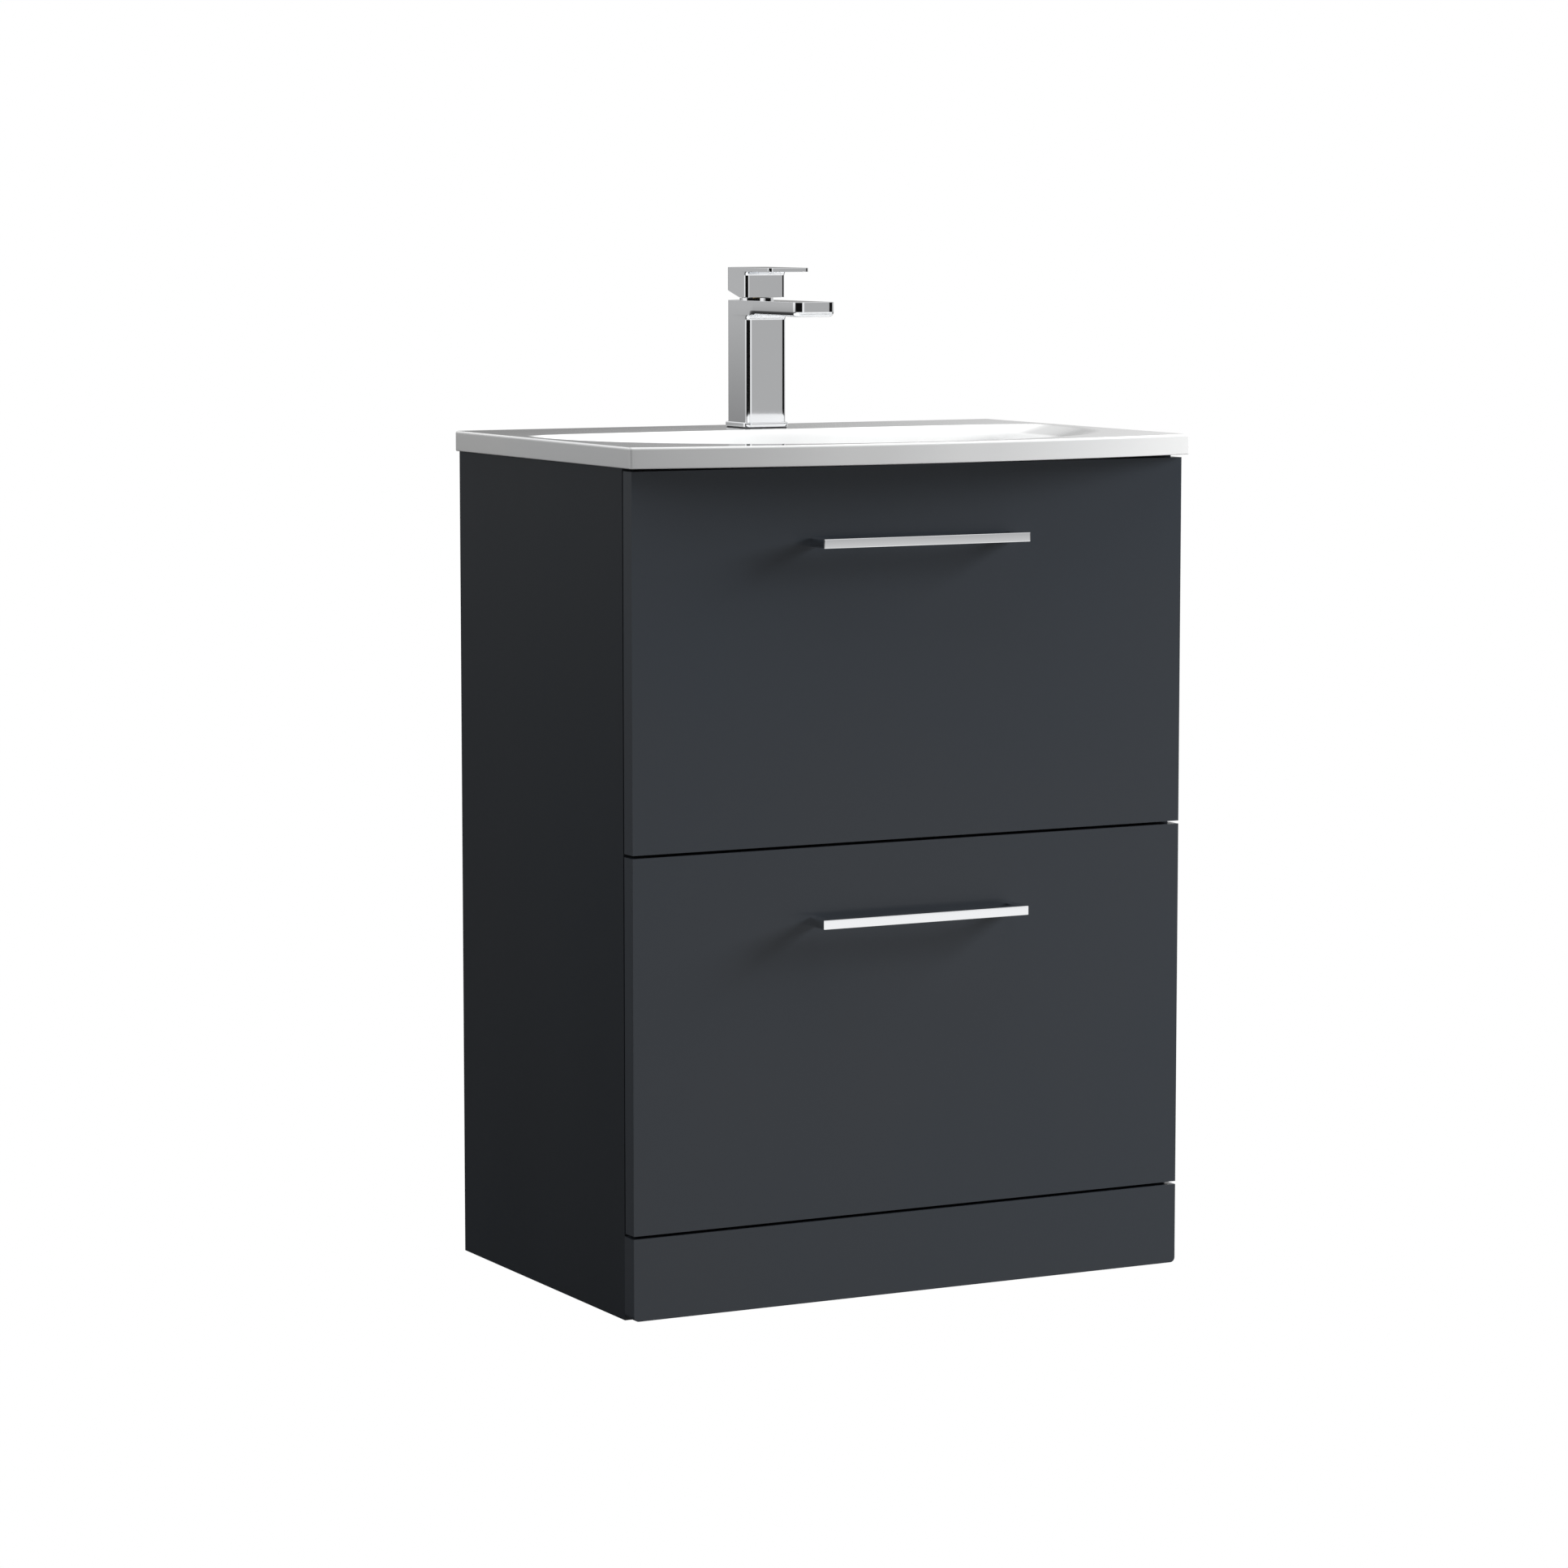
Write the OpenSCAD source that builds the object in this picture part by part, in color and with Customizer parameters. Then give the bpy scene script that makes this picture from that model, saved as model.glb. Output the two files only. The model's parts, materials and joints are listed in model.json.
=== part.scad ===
// Floor-standing bathroom vanity cabinet with two drawers, a ceramic
// basin with a bowed front edge and a square single-lever tap.
// Origin: middle of the footprint, on the floor. +X right, +Y to the
// wall, +Z up. All sizes are in millimetres.

/* [Cabinet] */
// Width of the cabinet and of its fronts
cabinet_w = 600; // [480:1:760]
// Depth from the wall to the outer face of the fronts
cabinet_d = 390; // [320:1:480]
// Height of the cabinet under the basin
cabinet_h = 808; // [660:1:980]
// Thickness of the side, base and rail boards
panel_t = 18; // [15:1:22]
// Thickness of the back panel
back_t = 6; // [3:1:8]
// Clear space behind the back panel for pipes
service_gap = 50; // [40:1:60]
// Height of the rear rails and of the upper front rail
rail_h = 90; // [70:1:105]
// Depth of the flat rail between the drawers
mid_rail_d = 60; // [40:1:80]
// Height of the open part above the back panel
back_open_h = 208; // [160:1:260]
// Width and depth of the notch for pipes in the back panel
back_notch = [300, 200]; // [120:1:360]

/* [Plinth] */
// Height of the top edge of the plinth above the floor
plinth_h = 81; // [70:1:100]
// Gap under the plinth board
plinth_lift = 2; // [1:0.5:6]
// Radius of the lower corners of the plinth board
plinth_r = 5; // [2:0.5:12]
// Section of the square blocks behind the plinth
plinth_block = 28; // [20:1:40]

/* [Fronts] */
// Thickness of the drawer fronts
front_t = 18; // [16:1:22]
// Gap between the fronts and the carcass
front_gap = 2; // [1:0.5:4]
// Gap between neighbouring fronts, and under the basin
reveal = 3; // [2:0.5:5]

/* [Drawer boxes] */
// Thickness of the drawer sides and backs
box_t = 15; // [12:1:16]
// Thickness of the drawer bottoms
bottom_t = 8; // [4:1:10]
// Height of the upper drawer box
upper_box_h = 150; // [110:1:180]
// Height of the lower drawer box
lower_box_h = 200; // [140:1:240]
// Height of a drawer box above the lower edge of its front
box_lift = 32; // [26:1:40]
// Depth of the grooves that hold a drawer bottom
groove = 6; // [4:1:8]
// Clear width of the pipe recess in the upper drawer
recess_w = 180; // [120:1:240]
// Space between the waste and the front of the recess
recess_clear = 20; // [10:1:40]
// Wall of the moulded recess liner
recess_t = 4; // [3:0.5:6]

/* [Runners] */
// Space for a runner between drawer side and carcass
runner_w = 12.7; // [12:0.1:14]
// Height of the outer runner member
runner_h = 45; // [40:1:50]
// Sheet thickness of the runner members
runner_t = 1.2; // [1:0.1:1.6]
// Set-back of the runners from the carcass front edge
runner_setback = 2; // [1:0.5:6]
// Space between the runners and the back panel
runner_rear_gap = 12; // [6:1:30]
// Diameter of the runner balls
ball_d = 3.2; // [3:0.1:3.4]

/* [Handles] */
// Overall length of a handle
handle_l = 225; // [160:1:320]
// Section of the handle bar and of its legs
handle_s = 9; // [7:0.5:12]
// How far a handle stands out from its front
handle_out = 29; // [25:1:40]
// Height of the handle below the top edge of its front
handle_drop = 71; // [40:1:120]

/* [Basin] */
// Overhang of the basin past each side of the cabinet
basin_over = 5; // [2:1:12]
// Thickness of the basin rim
basin_t = 20; // [16:1:28]
// How far the middle of the bowed edge passes the fronts
bow_nose = 45; // [30:1:60]
// How far the front corners of the basin pass the fronts
bow_corner = 7; // [4:1:20]
// Radius of the vertical corners of the basin
basin_r = 3; // [1:0.5:8]
// Depth of the flat deck behind the bowl
deck_d = 118; // [108:1:130]
// Rim left beside the bowl
lip_side = 14; // [10:1:24]
// Rim left in front of the bowl
lip_front = 17; // [12:1:30]
// Drop of the shallow slope around the deep part of the bowl
dish_drop = 10; // [6:1:11]
// Depth of the deep part of the bowl below the slope
well_drop = 100; // [70:1:110]
// Thickness of the ceramic
ceramic_t = 9; // [7:0.5:11]
// Space between the bowl and the boards beside it
bowl_clear = 29; // [20:1:40]

/* [Waste] */
// Diameter of the threaded waste tail, a G 1 1/4 thread
waste_d = 41.91; // [40:0.01:43]
// Diameter of the flange in the bowl
waste_flange_d = 63; // [58:1:70]
// Length of the waste tail below the bowl
waste_l = 74; // [64:1:84]
// Diameter of the plug stem
stem_d = 10; // [8:0.5:12]
// Diameter of the overflow hole
overflow_d = 24; // [20:1:28]

/* [Tap] */
// Side of the square column and width of the spout
tap_s = 45; // [40:1:50]
// Side of the square foot of the tap
foot_s = 50; // [47:1:56]
// Height of the foot
foot_h = 4.5; // [2:0.5:6]
// Distance from the wall to the middle of the tap
tap_back = 63; // [56:1:70]
// Height of the spout top above the basin rim
spout_top = 127.6; // [110:0.1:160]
// Thickness of the spout
spout_t = 14.5; // [13:0.5:20]
// Reach of the spout from the middle of the tap
spout_reach = 129; // [100:1:150]
// Corner radius of the column
tap_r = 5; // [2:0.5:6]
// Corner radius of the spout's end, seen from above
tip_r = 9; // [4:0.5:12]
// Radius of the lower edge at the spout's end
tip_edge = 5; // [2:0.5:6]
// Depth of the lever block, front to back
lever_d = 42.5; // [40:0.5:45]
// Height of the lever block without the plate
lever_h = 25.9; // [20:0.1:32]
// Length of the lever plate
lever_l = 93.5; // [70:0.5:120]
// Thickness of the lever plate
lever_t = 4.2; // [3:0.1:6]
// Corner radius of the lever
lever_r = 4; // [2:0.5:6]
// Gap between the lever block and the column
lever_gap = 2.9; // [2:0.1:4]
// Height of the lift pivot below the top of the column
pivot_drop = 11; // [9:0.5:13]

/* [Hidden] */
$fn = 64;

// ---- clearances -----------------------------------------------------
slip = 0.1;            // board edge in its groove, each side
hole_gap = 0.05;       // dowel or screw in its hole, on the radius
run_gap = 0.05;        // running fit, on the radius
seat_gap = 0.1;        // turned part in its seat, on the radius
part_gap = 0.3;        // between faces that move past each other

// ---- levels and planes ----------------------------------------------
overall_d = cabinet_d + bow_nose;
y_wall = overall_d / 2;                      // back of everything
y_face = y_wall - cabinet_d;                 // outer face of the fronts
y_front_back = y_face + front_t;             // inner face of the fronts
y_carcass = y_front_back + front_gap;        // front edges of the boards
x_in = cabinet_w / 2 - panel_t;              // inner face of a side panel
y_back_panel = y_wall - service_gap - back_t;
z_rim = cabinet_h + basin_t;                 // top of the basin
z_base = plinth_h + reveal / 2 - panel_t / 2;  // underside of the base panel
z_base_top = z_base + panel_t;
z_low = plinth_h + reveal;                   // lower edge of the lower front
front_h = (cabinet_h - z_low - 2 * reveal) / 2;
z_up = z_low + front_h + reveal;             // lower edge of the upper front
z_mid_rail = z_up - reveal / 2 - panel_t / 2;

// ---- carcass --------------------------------------------------------
back_groove = 6;                             // groove depth for the back panel
z_back_top = cabinet_h - back_open_h;

// ---- fittings -------------------------------------------------------
dowel_d = 8;
dowel_l = 30;
dowel_in_side = 11;                          // part of a dowel in a side panel
cam_d = 15;
cam_h = 12.5;
cam_back = 34;                               // cam centre from the board end
bolt_d = 6;
bolt_in_side = 11;
screw_d = 4;
screw_in_side = 12;                          // part of a screw in a side panel
runner_head_d = 7;
runner_head_h = 1.2;
bracket_head_d = 7.5;
bracket_head_h = 1.8;

// Joint spots on the inner face of a side panel: y, z, and the direction
// from which the cam is let into the board (0 = from below, 1 = from the
// front, -1 = from the rear).
cam_spots = [
    [y_carcass + 60, z_base + panel_t / 2, 0],
    [y_wall - 90, z_base + panel_t / 2, 0],
    [y_wall - panel_t / 2, z_base_top + rail_h / 2, 1],
    [y_wall - panel_t / 2, cabinet_h - rail_h / 2, 1],
    [y_carcass + panel_t / 2, cabinet_h - rail_h / 2, -1],
    [y_carcass + mid_rail_d / 2, z_mid_rail + panel_t / 2, 0]];
dowel_spots = [
    [y_carcass + 24, z_base + panel_t / 2],
    [y_wall - 50, z_base + panel_t / 2],
    [y_wall - panel_t / 2, z_base_top + rail_h / 4],
    [y_wall - panel_t / 2, z_base_top + rail_h * 3 / 4],
    [y_wall - panel_t / 2, cabinet_h - rail_h / 4],
    [y_wall - panel_t / 2, cabinet_h - rail_h * 3 / 4],
    [y_carcass + panel_t / 2, cabinet_h - rail_h / 4],
    [y_carcass + panel_t / 2, cabinet_h - rail_h * 3 / 4],
    [y_carcass + mid_rail_d / 2 - 18, z_mid_rail + panel_t / 2],
    [y_carcass + mid_rail_d / 2 + 18, z_mid_rail + panel_t / 2]];

// ---- wall brackets --------------------------------------------------
bracket_t = 2;
bracket_w = 40;                              // leg on the wall and leg on the side
bracket_h = 36;
bracket_hole_d = 6.5;
z_bracket = cabinet_h - rail_h - 12 - bracket_h;

// ---- drawers --------------------------------------------------------
inside_d = y_back_panel - y_carcass;
runner_l = inside_d - runner_setback - runner_rear_gap;
y_runner = y_carcass + runner_setback;
box_rear_short = 4;                          // box ends before its runners
y_box_back = y_runner + runner_l - box_rear_short;
box_l = y_box_back - y_front_back;
x_box = x_in - runner_w;                     // outer face of a drawer side
z_upper_box = z_up + box_lift;
z_lower_box = z_low + box_lift;
bottom_lift = 12;                            // drawer bottom above the box edge
z_upper_runner = z_upper_box + upper_box_h / 2;
z_lower_runner = z_lower_box + lower_box_h / 2;
box_dowel_in_front = 10;
box_dowel_l = 34;
box_dowel_cover = 5;                         // board left over a rear dowel
handle_screw_in = 14;                        // part of a screw in a handle leg
handle_head_d = 8;
handle_head_h = 2.4;

// ---- runner members, in section, from the side panel inwards --------
ball_play = 0.2;                             // over a ball, between two flanges
web_gap = 1.6;                               // between the webs of two members
mid_h = runner_h - 2 * (runner_t + ball_d + ball_play);
inner_h = mid_h - 2 * (runner_t + ball_d + ball_play);
x_mid_web = x_in - 2 * runner_t - web_gap;
outer_lip = runner_w - runner_t - web_gap;   // flange of the outer member
mid_lip = outer_lip - runner_t - web_gap;    // flange of the middle member
inner_lip = mid_lip - runner_t;              // flange of the inner member
balls_per_row = 7;
ball_row_l = runner_l / 3;

// ---- basin ----------------------------------------------------------
basin_w = cabinet_w + 2 * basin_over;
y_nose = y_face - bow_nose;
y_corner = y_face - bow_corner;
bow_sag = y_corner - y_nose;
bow_r = (pow(basin_w / 2, 2) + pow(bow_sag, 2)) / (2 * bow_sag);
y_deck = y_wall - deck_d;                    // front line of the deck
open_half = basin_w / 2 - lip_side;
y_open = y_nose + lip_front;
z_dish = z_rim - dish_drop;
z_floor = z_dish - well_drop;                // bottom of the bowl
rail_clear = 6;                              // from the bowl to the upper rail
well_half = x_in - bowl_clear - ceramic_t;   // deep part at its top
y_well_front = y_carcass + panel_t + rail_clear + ceramic_t;
y_well_rear = y_deck - 2;
waste_set_back = 8;                          // from the middle of the deep part
y_waste = (y_well_front + y_well_rear) / 2 + waste_set_back;
ring_n = 72;                                 // points around the bowl
well_n = 9;                                  // levels down the bowl
duct_w = 28;                                 // overflow duct
duct_t = 12;
duct_wall = 7;
z_duct = z_floor - ceramic_t - duct_t;       // underside of the duct
z_boss = z_duct - duct_wall;                 // underside of the waste boss
boss_rim = 8;                                // boss beyond the waste flange
z_overflow = z_dish - overflow_d;
duct_head = 14;                              // duct above the overflow's middle
oval_front = 2.3;                            // roundness of the rim in plan
well_front = 2.9;                            // roundness of the deep part
oval_rear = 5;                               // squarer corners at the back
rim_wide = 40;                               // widest line of the rim to the deck
well_taper = 0.62;                           // how much the deep part draws in
well_wide = 0.4;                             // widest line, share of the way back

// ---- waste ----------------------------------------------------------
waste_hole_d = waste_d + 3;
thread_h = 1.48;
waste_root_d = waste_d - 2 * thread_h;       // the thread's root, inside the nut
waste_bore_d = 33;
waste_nut_d = waste_d + 22;
y_recess = y_waste - waste_nut_d / 2 - recess_clear;   // front of the recess
flange_t = 3;
z_flange = z_floor - 0.5;                    // underside of the flange seal
seal_t = 1.5;
z_waste_end = z_floor - waste_l;
nut_h = 9;
washer_t = 5;
washer_w = 9;                                // washer beyond the thread
z_nut = z_boss - washer_t - nut_h;           // underside of the nut
guide_h = 9;
z_guide = z_floor - 40;
guide_w = 4;                                 // bars of the cross guide
overflow_slot = 10;                          // slots from the duct into the waste
cap_t = 4;
z_cap = z_flange + seal_t + flange_t + part_gap;

// ---- tap ------------------------------------------------------------
y_tap = y_wall - tap_back;
gasket_t = 1;
z_foot = z_rim + gasket_t;
foot_r = 7;
z_column = z_rim + spout_top;                // top of the column and spout
tap_hole_d = 35;
spigot_d = 33;
spigot_h = 7;
cartridge_d = 35;
cartridge_h = 40;
cartridge_base = 10;                         // solid foot of the cartridge
spindle_d = 27;
spindle_h = 9;
collar_d = 34;
collar_h = 2.3;
collar_seat = 0.5;                           // collar let into the chamber
z_pivot = z_column - pivot_drop;
z_lever = z_column + lever_gap;              // underside of the lever block
y_lever_front = y_tap - 20;
y_lever_back = y_lever_front + lever_d;
z_plate = z_lever + lever_h;                 // underside of the lever plate
chamfer_h = 7.5;                             // room for the lift
chamfer_d = 27.5;
lever_stem_d = 8;
pin_d = 3;
stud_d = 6;
stud_l = 72;
stud_in = 10;                                // stud above the rim
y_stud = y_tap - 12;
inlet_x = 8;
y_inlet = y_tap + 6;
inlet_d = 10;                                // sockets for the hoses
inlet_h = 14;                                // their depth above the rim
inlet_bore_d = 7;
outlet_d = 8;
clamp_d = 48;
clamp_t = 2.5;
clamp_pad_t = 2;
clamp_nut_d = 11.5;
clamp_nut_h = 5;
aerator_d = 22;
aerator_h = 7;
y_aerator = y_tap - spout_reach + 17;
spout_fillet = 5;
lever_fillet = 4;
stem_in_lever = 14;
grub_d = 5;
z_grub = z_lever + 11;

// =====================================================================
// Helpers
// =====================================================================

// A box given by its lowest and highest corners
module block(lo, hi) {
    translate(lo) cube(hi - lo);
}

// The children and their mirror image across the middle of the cabinet
module pair() {
    children();
    mirror([1, 0, 0]) children();
}

// A cylinder whose axis runs along X from a to b
module rod_x(a, b, y, z, d) {
    translate([a, y, z]) rotate([0, 90, 0]) cylinder(d = d, h = b - a);
}

// A cylinder whose axis runs along Y from a to b
module rod_y(x, a, b, z, d) {
    translate([x, b, z]) rotate([90, 0, 0]) cylinder(d = d, h = b - a);
}

// A rectangle from lo to hi with round corners
module round_rect(lo, hi, r) {
    translate([lo[0] + r, lo[1]]) square([hi[0] - lo[0] - 2 * r, hi[1] - lo[1]]);
    translate([lo[0], lo[1] + r]) square([hi[0] - lo[0], hi[1] - lo[1] - 2 * r]);
    for (x = [lo[0] + r, hi[0] - r], y = [lo[1] + r, hi[1] - r])
        translate([x, y]) circle(r);
}

// A box with round vertical edges
module round_block(lo, hi, r) {
    translate([0, 0, lo[2]])
        linear_extrude(hi[2] - lo[2]) round_rect([lo[0], lo[1]], [hi[0], hi[1]], r);
}

// A child outline in the YZ plane, extruded along X from a to b
module extrude_x(a, b) {
    translate([a, 0, 0]) rotate([90, 0, 90]) linear_extrude(b - a) children();
}

// Holes of the dowels and cam bolts in the right side panel and in the
// board ends that meet it
module joint_holes() {
    for (s = dowel_spots)
        rod_x(x_in - dowel_l + dowel_in_side - 1, x_in + dowel_in_side + 1,
              s[0], s[1], dowel_d + 2 * hole_gap);
    for (s = cam_spots) {
        rod_x(x_in - cam_back, x_in + bolt_in_side + 0.5,
              s[0], s[1], bolt_d + 2 * hole_gap);
        cam_shape(s, hole_gap);
    }
}

// The round body of a cam lock at a joint spot, let in from its face
module cam_shape(s, gap) {
    r = cam_d / 2 + gap;
    lead = gap > 0 ? 1 : 0;
    below = panel_t / 2;
    if (s[2] == 0)
        translate([x_in - cam_back, s[0], s[1] - below - lead])
            cylinder(r = r, h = cam_h + lead);
    if (s[2] == 1)
        rod_y(x_in - cam_back, s[0] - below - lead, s[0] - below + cam_h,
              s[1], 2 * r);
    if (s[2] == -1)
        rod_y(x_in - cam_back, s[0] + below - cam_h, s[0] + below + lead,
              s[1], 2 * r);
}

// Screws from the runners into a side panel, at a runner height
module runner_screw_row(z, d, head) {
    for (y = [y_runner + 20, y_runner + runner_l / 2, y_runner + runner_l - 20]) {
        rod_x(x_in - runner_t, x_in + screw_in_side, y, z, d);
        if (head > 0)
            rod_x(x_in - runner_t - runner_head_h, x_in - runner_t, y, z, head);
    }
}

// =====================================================================
// Carcass
// =====================================================================

module side_panel_shape() {
    difference() {
        block([x_in, y_carcass, 0], [x_in + panel_t, y_wall, cabinet_h]);
        block([x_in - 1, y_back_panel - slip, z_base_top],
              [x_in + back_groove, y_back_panel + back_t + slip, z_back_top + 1]);
        joint_holes();
        for (z = [z_upper_runner, z_lower_runner])
            runner_screw_row(z, screw_d + 2 * hole_gap, 0);
        bracket_screw_shape(screw_d + 2 * hole_gap, 0);
    }
}

module side_panel_right() {
    color("#3b4046") side_panel_shape();
}

module side_panel_left() {
    color("#3b4046") mirror([1, 0, 0]) side_panel_shape();
}

// A board between the side panels, with the joint holes at both ends
module cross_board(lo_y, lo_z, hi_y, hi_z) {
    difference() {
        block([-x_in, lo_y, lo_z], [x_in, hi_y, hi_z]);
        pair() joint_holes();
        children();
    }
}

module base_panel() {
    color("#3b4046")
        cross_board(y_carcass, z_base, y_wall, z_base_top);
}

module rear_rail_top() {
    color("#3b4046")
        cross_board(y_wall - panel_t, cabinet_h - rail_h, y_wall, cabinet_h);
}

module rear_rail_low() {
    color("#3b4046")
        cross_board(y_wall - panel_t, z_base_top, y_wall, z_base_top + rail_h);
}

module front_rail_top() {
    color("#3b4046")
        cross_board(y_carcass, cabinet_h - rail_h, y_carcass + panel_t, cabinet_h);
}

module front_rail_mid() {
    color("#3b4046")
        cross_board(y_carcass, z_mid_rail, y_carcass + mid_rail_d, z_mid_rail + panel_t);
}

module back_panel() {
    half = x_in + back_groove - slip;
    color("#4a4f55") difference() {
        block([-half, y_back_panel, z_base_top],
              [half, y_back_panel + back_t, z_back_top]);
        block([-back_notch[0] / 2, y_back_panel - 1, z_back_top - back_notch[1]],
              [back_notch[0] / 2, y_back_panel + back_t + 1, z_back_top + 1]);
    }
}

module plinth_front() {
    color("#3b4046")
        translate([0, y_carcass, 0]) rotate([90, 0, 0])
            linear_extrude(y_carcass - y_face) {
                translate([-cabinet_w / 2, plinth_lift + plinth_r])
                    square([cabinet_w, plinth_h - plinth_lift - plinth_r]);
                round_rect([-cabinet_w / 2, plinth_lift],
                           [cabinet_w / 2, plinth_h], plinth_r);
            }
}

module plinth_blocks() {
    color("#c9b18a") pair()
        block([x_in - plinth_block, y_carcass, plinth_lift],
              [x_in, y_carcass + plinth_block, z_base]);
}

module carcass_dowels() {
    color("#c9a873") pair() for (s = dowel_spots)
        rod_x(x_in + dowel_in_side - dowel_l, x_in + dowel_in_side,
              s[0], s[1], dowel_d);
}

module cam_bolts() {
    color("silver") pair() for (s = cam_spots) {
        rod_x(x_in - 2, x_in + bolt_in_side, s[0], s[1], bolt_d);
        rod_x(x_in - cam_back + 5, x_in - 2, s[0], s[1], bolt_d - 1);
        rod_x(x_in - cam_back + 1, x_in - cam_back + 5, s[0], s[1], bolt_d);
    }
}

// The cams have a hollow for the bolt head and a cross slot
module cam_locks() {
    color("#9a9ea3") pair() for (s = cam_spots) difference() {
        cam_shape(s, 0);
        rod_x(x_in - cam_back - 2, x_in, s[0], s[1], bolt_d + 1);
        cam_slot(s, [7, 1.4]);
        cam_slot(s, [1.4, 7]);
    }
}

module cam_slot(s, size) {
    depth = 2;
    below = panel_t / 2;
    x = x_in - cam_back;
    if (s[2] == 0)
        block([x - size[0] / 2, s[0] - size[1] / 2, s[1] - below - 1],
              [x + size[0] / 2, s[0] + size[1] / 2, s[1] - below + depth]);
    if (s[2] == 1)
        block([x - size[0] / 2, s[0] - below - 1, s[1] - size[1] / 2],
              [x + size[0] / 2, s[0] - below + depth, s[1] + size[1] / 2]);
    if (s[2] == -1)
        block([x - size[0] / 2, s[0] + below - depth, s[1] - size[1] / 2],
              [x + size[0] / 2, s[0] + below + 1, s[1] + size[1] / 2]);
}

// Steel angles that tie the cabinet to the wall
module wall_brackets() {
    x_leg = x_in - bracket_w;
    z_mid = z_bracket + bracket_h / 2;
    color("silver") pair() difference() {
        union() {
            block([x_in - bracket_t, y_wall - bracket_w, z_bracket],
                  [x_in, y_wall, z_bracket + bracket_h]);
            block([x_leg, y_wall - bracket_t, z_bracket],
                  [x_in, y_wall, z_bracket + bracket_h]);
        }
        rod_y(x_in - bracket_w / 2, y_wall - bracket_t - 1, y_wall + 1,
              z_mid, bracket_hole_d);
        bracket_screw_shape(screw_d + 2 * hole_gap, 0);
    }
}

// Two screws through the leg of a bracket into the side panel
module bracket_screw_shape(d, head) {
    y = y_wall - bracket_w * 0.6;
    for (z = [z_bracket + bracket_h / 4, z_bracket + bracket_h * 3 / 4]) {
        rod_x(x_in - bracket_t - (head > 0 ? 0 : 1), x_in + screw_in_side, y, z, d);
        if (head > 0)
            rod_x(x_in - bracket_t - bracket_head_h, x_in - bracket_t, y, z, head);
    }
}

module bracket_screws() {
    color("#b8b8b8") pair() bracket_screw_shape(screw_d, bracket_head_d);
}

// =====================================================================
// Runners
// =====================================================================

// A C-shaped runner member of height h: its web is at x_web and its
// flanges reach inwards by lip
module channel(x_web, h, lip, y0, len, z) {
    difference() {
        block([x_web - lip, y0, z - h / 2], [x_web + runner_t, y0 + len, z + h / 2]);
        block([x_web - lip - 1, y0 - 1, z - h / 2 + runner_t],
              [x_web, y0 + len + 1, z + h / 2 - runner_t]);
    }
}

module runner_outer(z) {
    color("#a8acb0") pair() difference() {
        channel(x_in - runner_t, runner_h, outer_lip, y_runner, runner_l, z);
        runner_screw_row(z, screw_d + 2 * hole_gap, 0);
    }
}

module runner_mid(z) {
    color("#b4b8bc") pair()
        channel(x_mid_web, mid_h, mid_lip, y_runner + 1, runner_l - 2, z);
}

// The inner member opens towards the side panel
module runner_inner(z) {
    color("#b4b8bc") pair() difference() {
        block([x_box, y_runner, z - inner_h / 2],
              [x_box + inner_lip, y_runner + runner_l - box_rear_short,
               z + inner_h / 2]);
        block([x_box + runner_t, y_runner - 1, z - inner_h / 2 + runner_t],
              [x_box + inner_lip + 1, y_runner + runner_l, z + inner_h / 2 - runner_t]);
    }
}

// Rows of balls above and below the middle member, and inside it
module runner_balls(z) {
    row_gap = ball_row_l / (balls_per_row - 1);
    y0 = y_runner + runner_l / 2 - ball_row_l / 2;
    x_out = x_mid_web - mid_lip / 2;
    x_inn = x_box + inner_lip / 2;
    z_out = mid_h / 2 + ball_d / 2;
    z_inn = mid_h / 2 - runner_t - ball_d / 2;
    color("#d8dadd") pair()
        for (i = [0 : balls_per_row - 1], side = [-1, 1]) {
            translate([x_out, y0 + i * row_gap, z + side * z_out])
                sphere(d = ball_d);
            translate([x_inn, y0 + i * row_gap, z + side * z_inn])
                sphere(d = ball_d);
        }
}

module upper_runner_outer() { runner_outer(z_upper_runner); }
module lower_runner_outer() { runner_outer(z_lower_runner); }
module upper_runner_mid() { runner_mid(z_upper_runner); }
module lower_runner_mid() { runner_mid(z_lower_runner); }
module upper_runner_inner() { runner_inner(z_upper_runner); }
module lower_runner_inner() { runner_inner(z_lower_runner); }
module upper_runner_balls() { runner_balls(z_upper_runner); }
module lower_runner_balls() { runner_balls(z_lower_runner); }

module runner_screws() {
    color("#b8b8b8") pair() for (z = [z_upper_runner, z_lower_runner])
        runner_screw_row(z, screw_d, runner_head_d);
}

// =====================================================================
// Drawers
// =====================================================================

// Dowels that join the right-hand side of a box to its front and back
module box_dowel_shape(z, h, gap) {
    lead = gap > 0 ? 1 : 0;
    for (dz = [h / 5, h * 4 / 5]) {
        rod_y(x_box - box_t / 2, y_front_back - box_dowel_in_front - lead,
              y_front_back - box_dowel_in_front + box_dowel_l + lead, z + dz,
              dowel_d + 2 * gap);
        rod_x(x_box - dowel_l, x_box - box_dowel_cover, y_box_back - box_t / 2,
              z + dz, dowel_d + 2 * gap);
    }
}

// Screws from behind the front into the handle legs, with sunk heads
module handle_screw_shape(z_handle, gap) {
    x = handle_l / 2 - handle_s / 2;
    lead = gap > 0 ? 1 : 0;
    rod_y(x, y_face - handle_screw_in, y_front_back, z_handle, screw_d + 2 * gap);
    rod_y(x, y_front_back - handle_head_h, y_front_back + lead, z_handle,
          handle_head_d + 2 * gap);
}

module drawer_front(z, z_box, h) {
    color("#40464c") difference() {
        block([-cabinet_w / 2, y_face, z],
              [cabinet_w / 2, y_front_back, z + front_h]);
        pair() {
            box_dowel_shape(z_box, h, hole_gap);
            handle_screw_shape(z + front_h - handle_drop, hole_gap);
        }
    }
}

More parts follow.
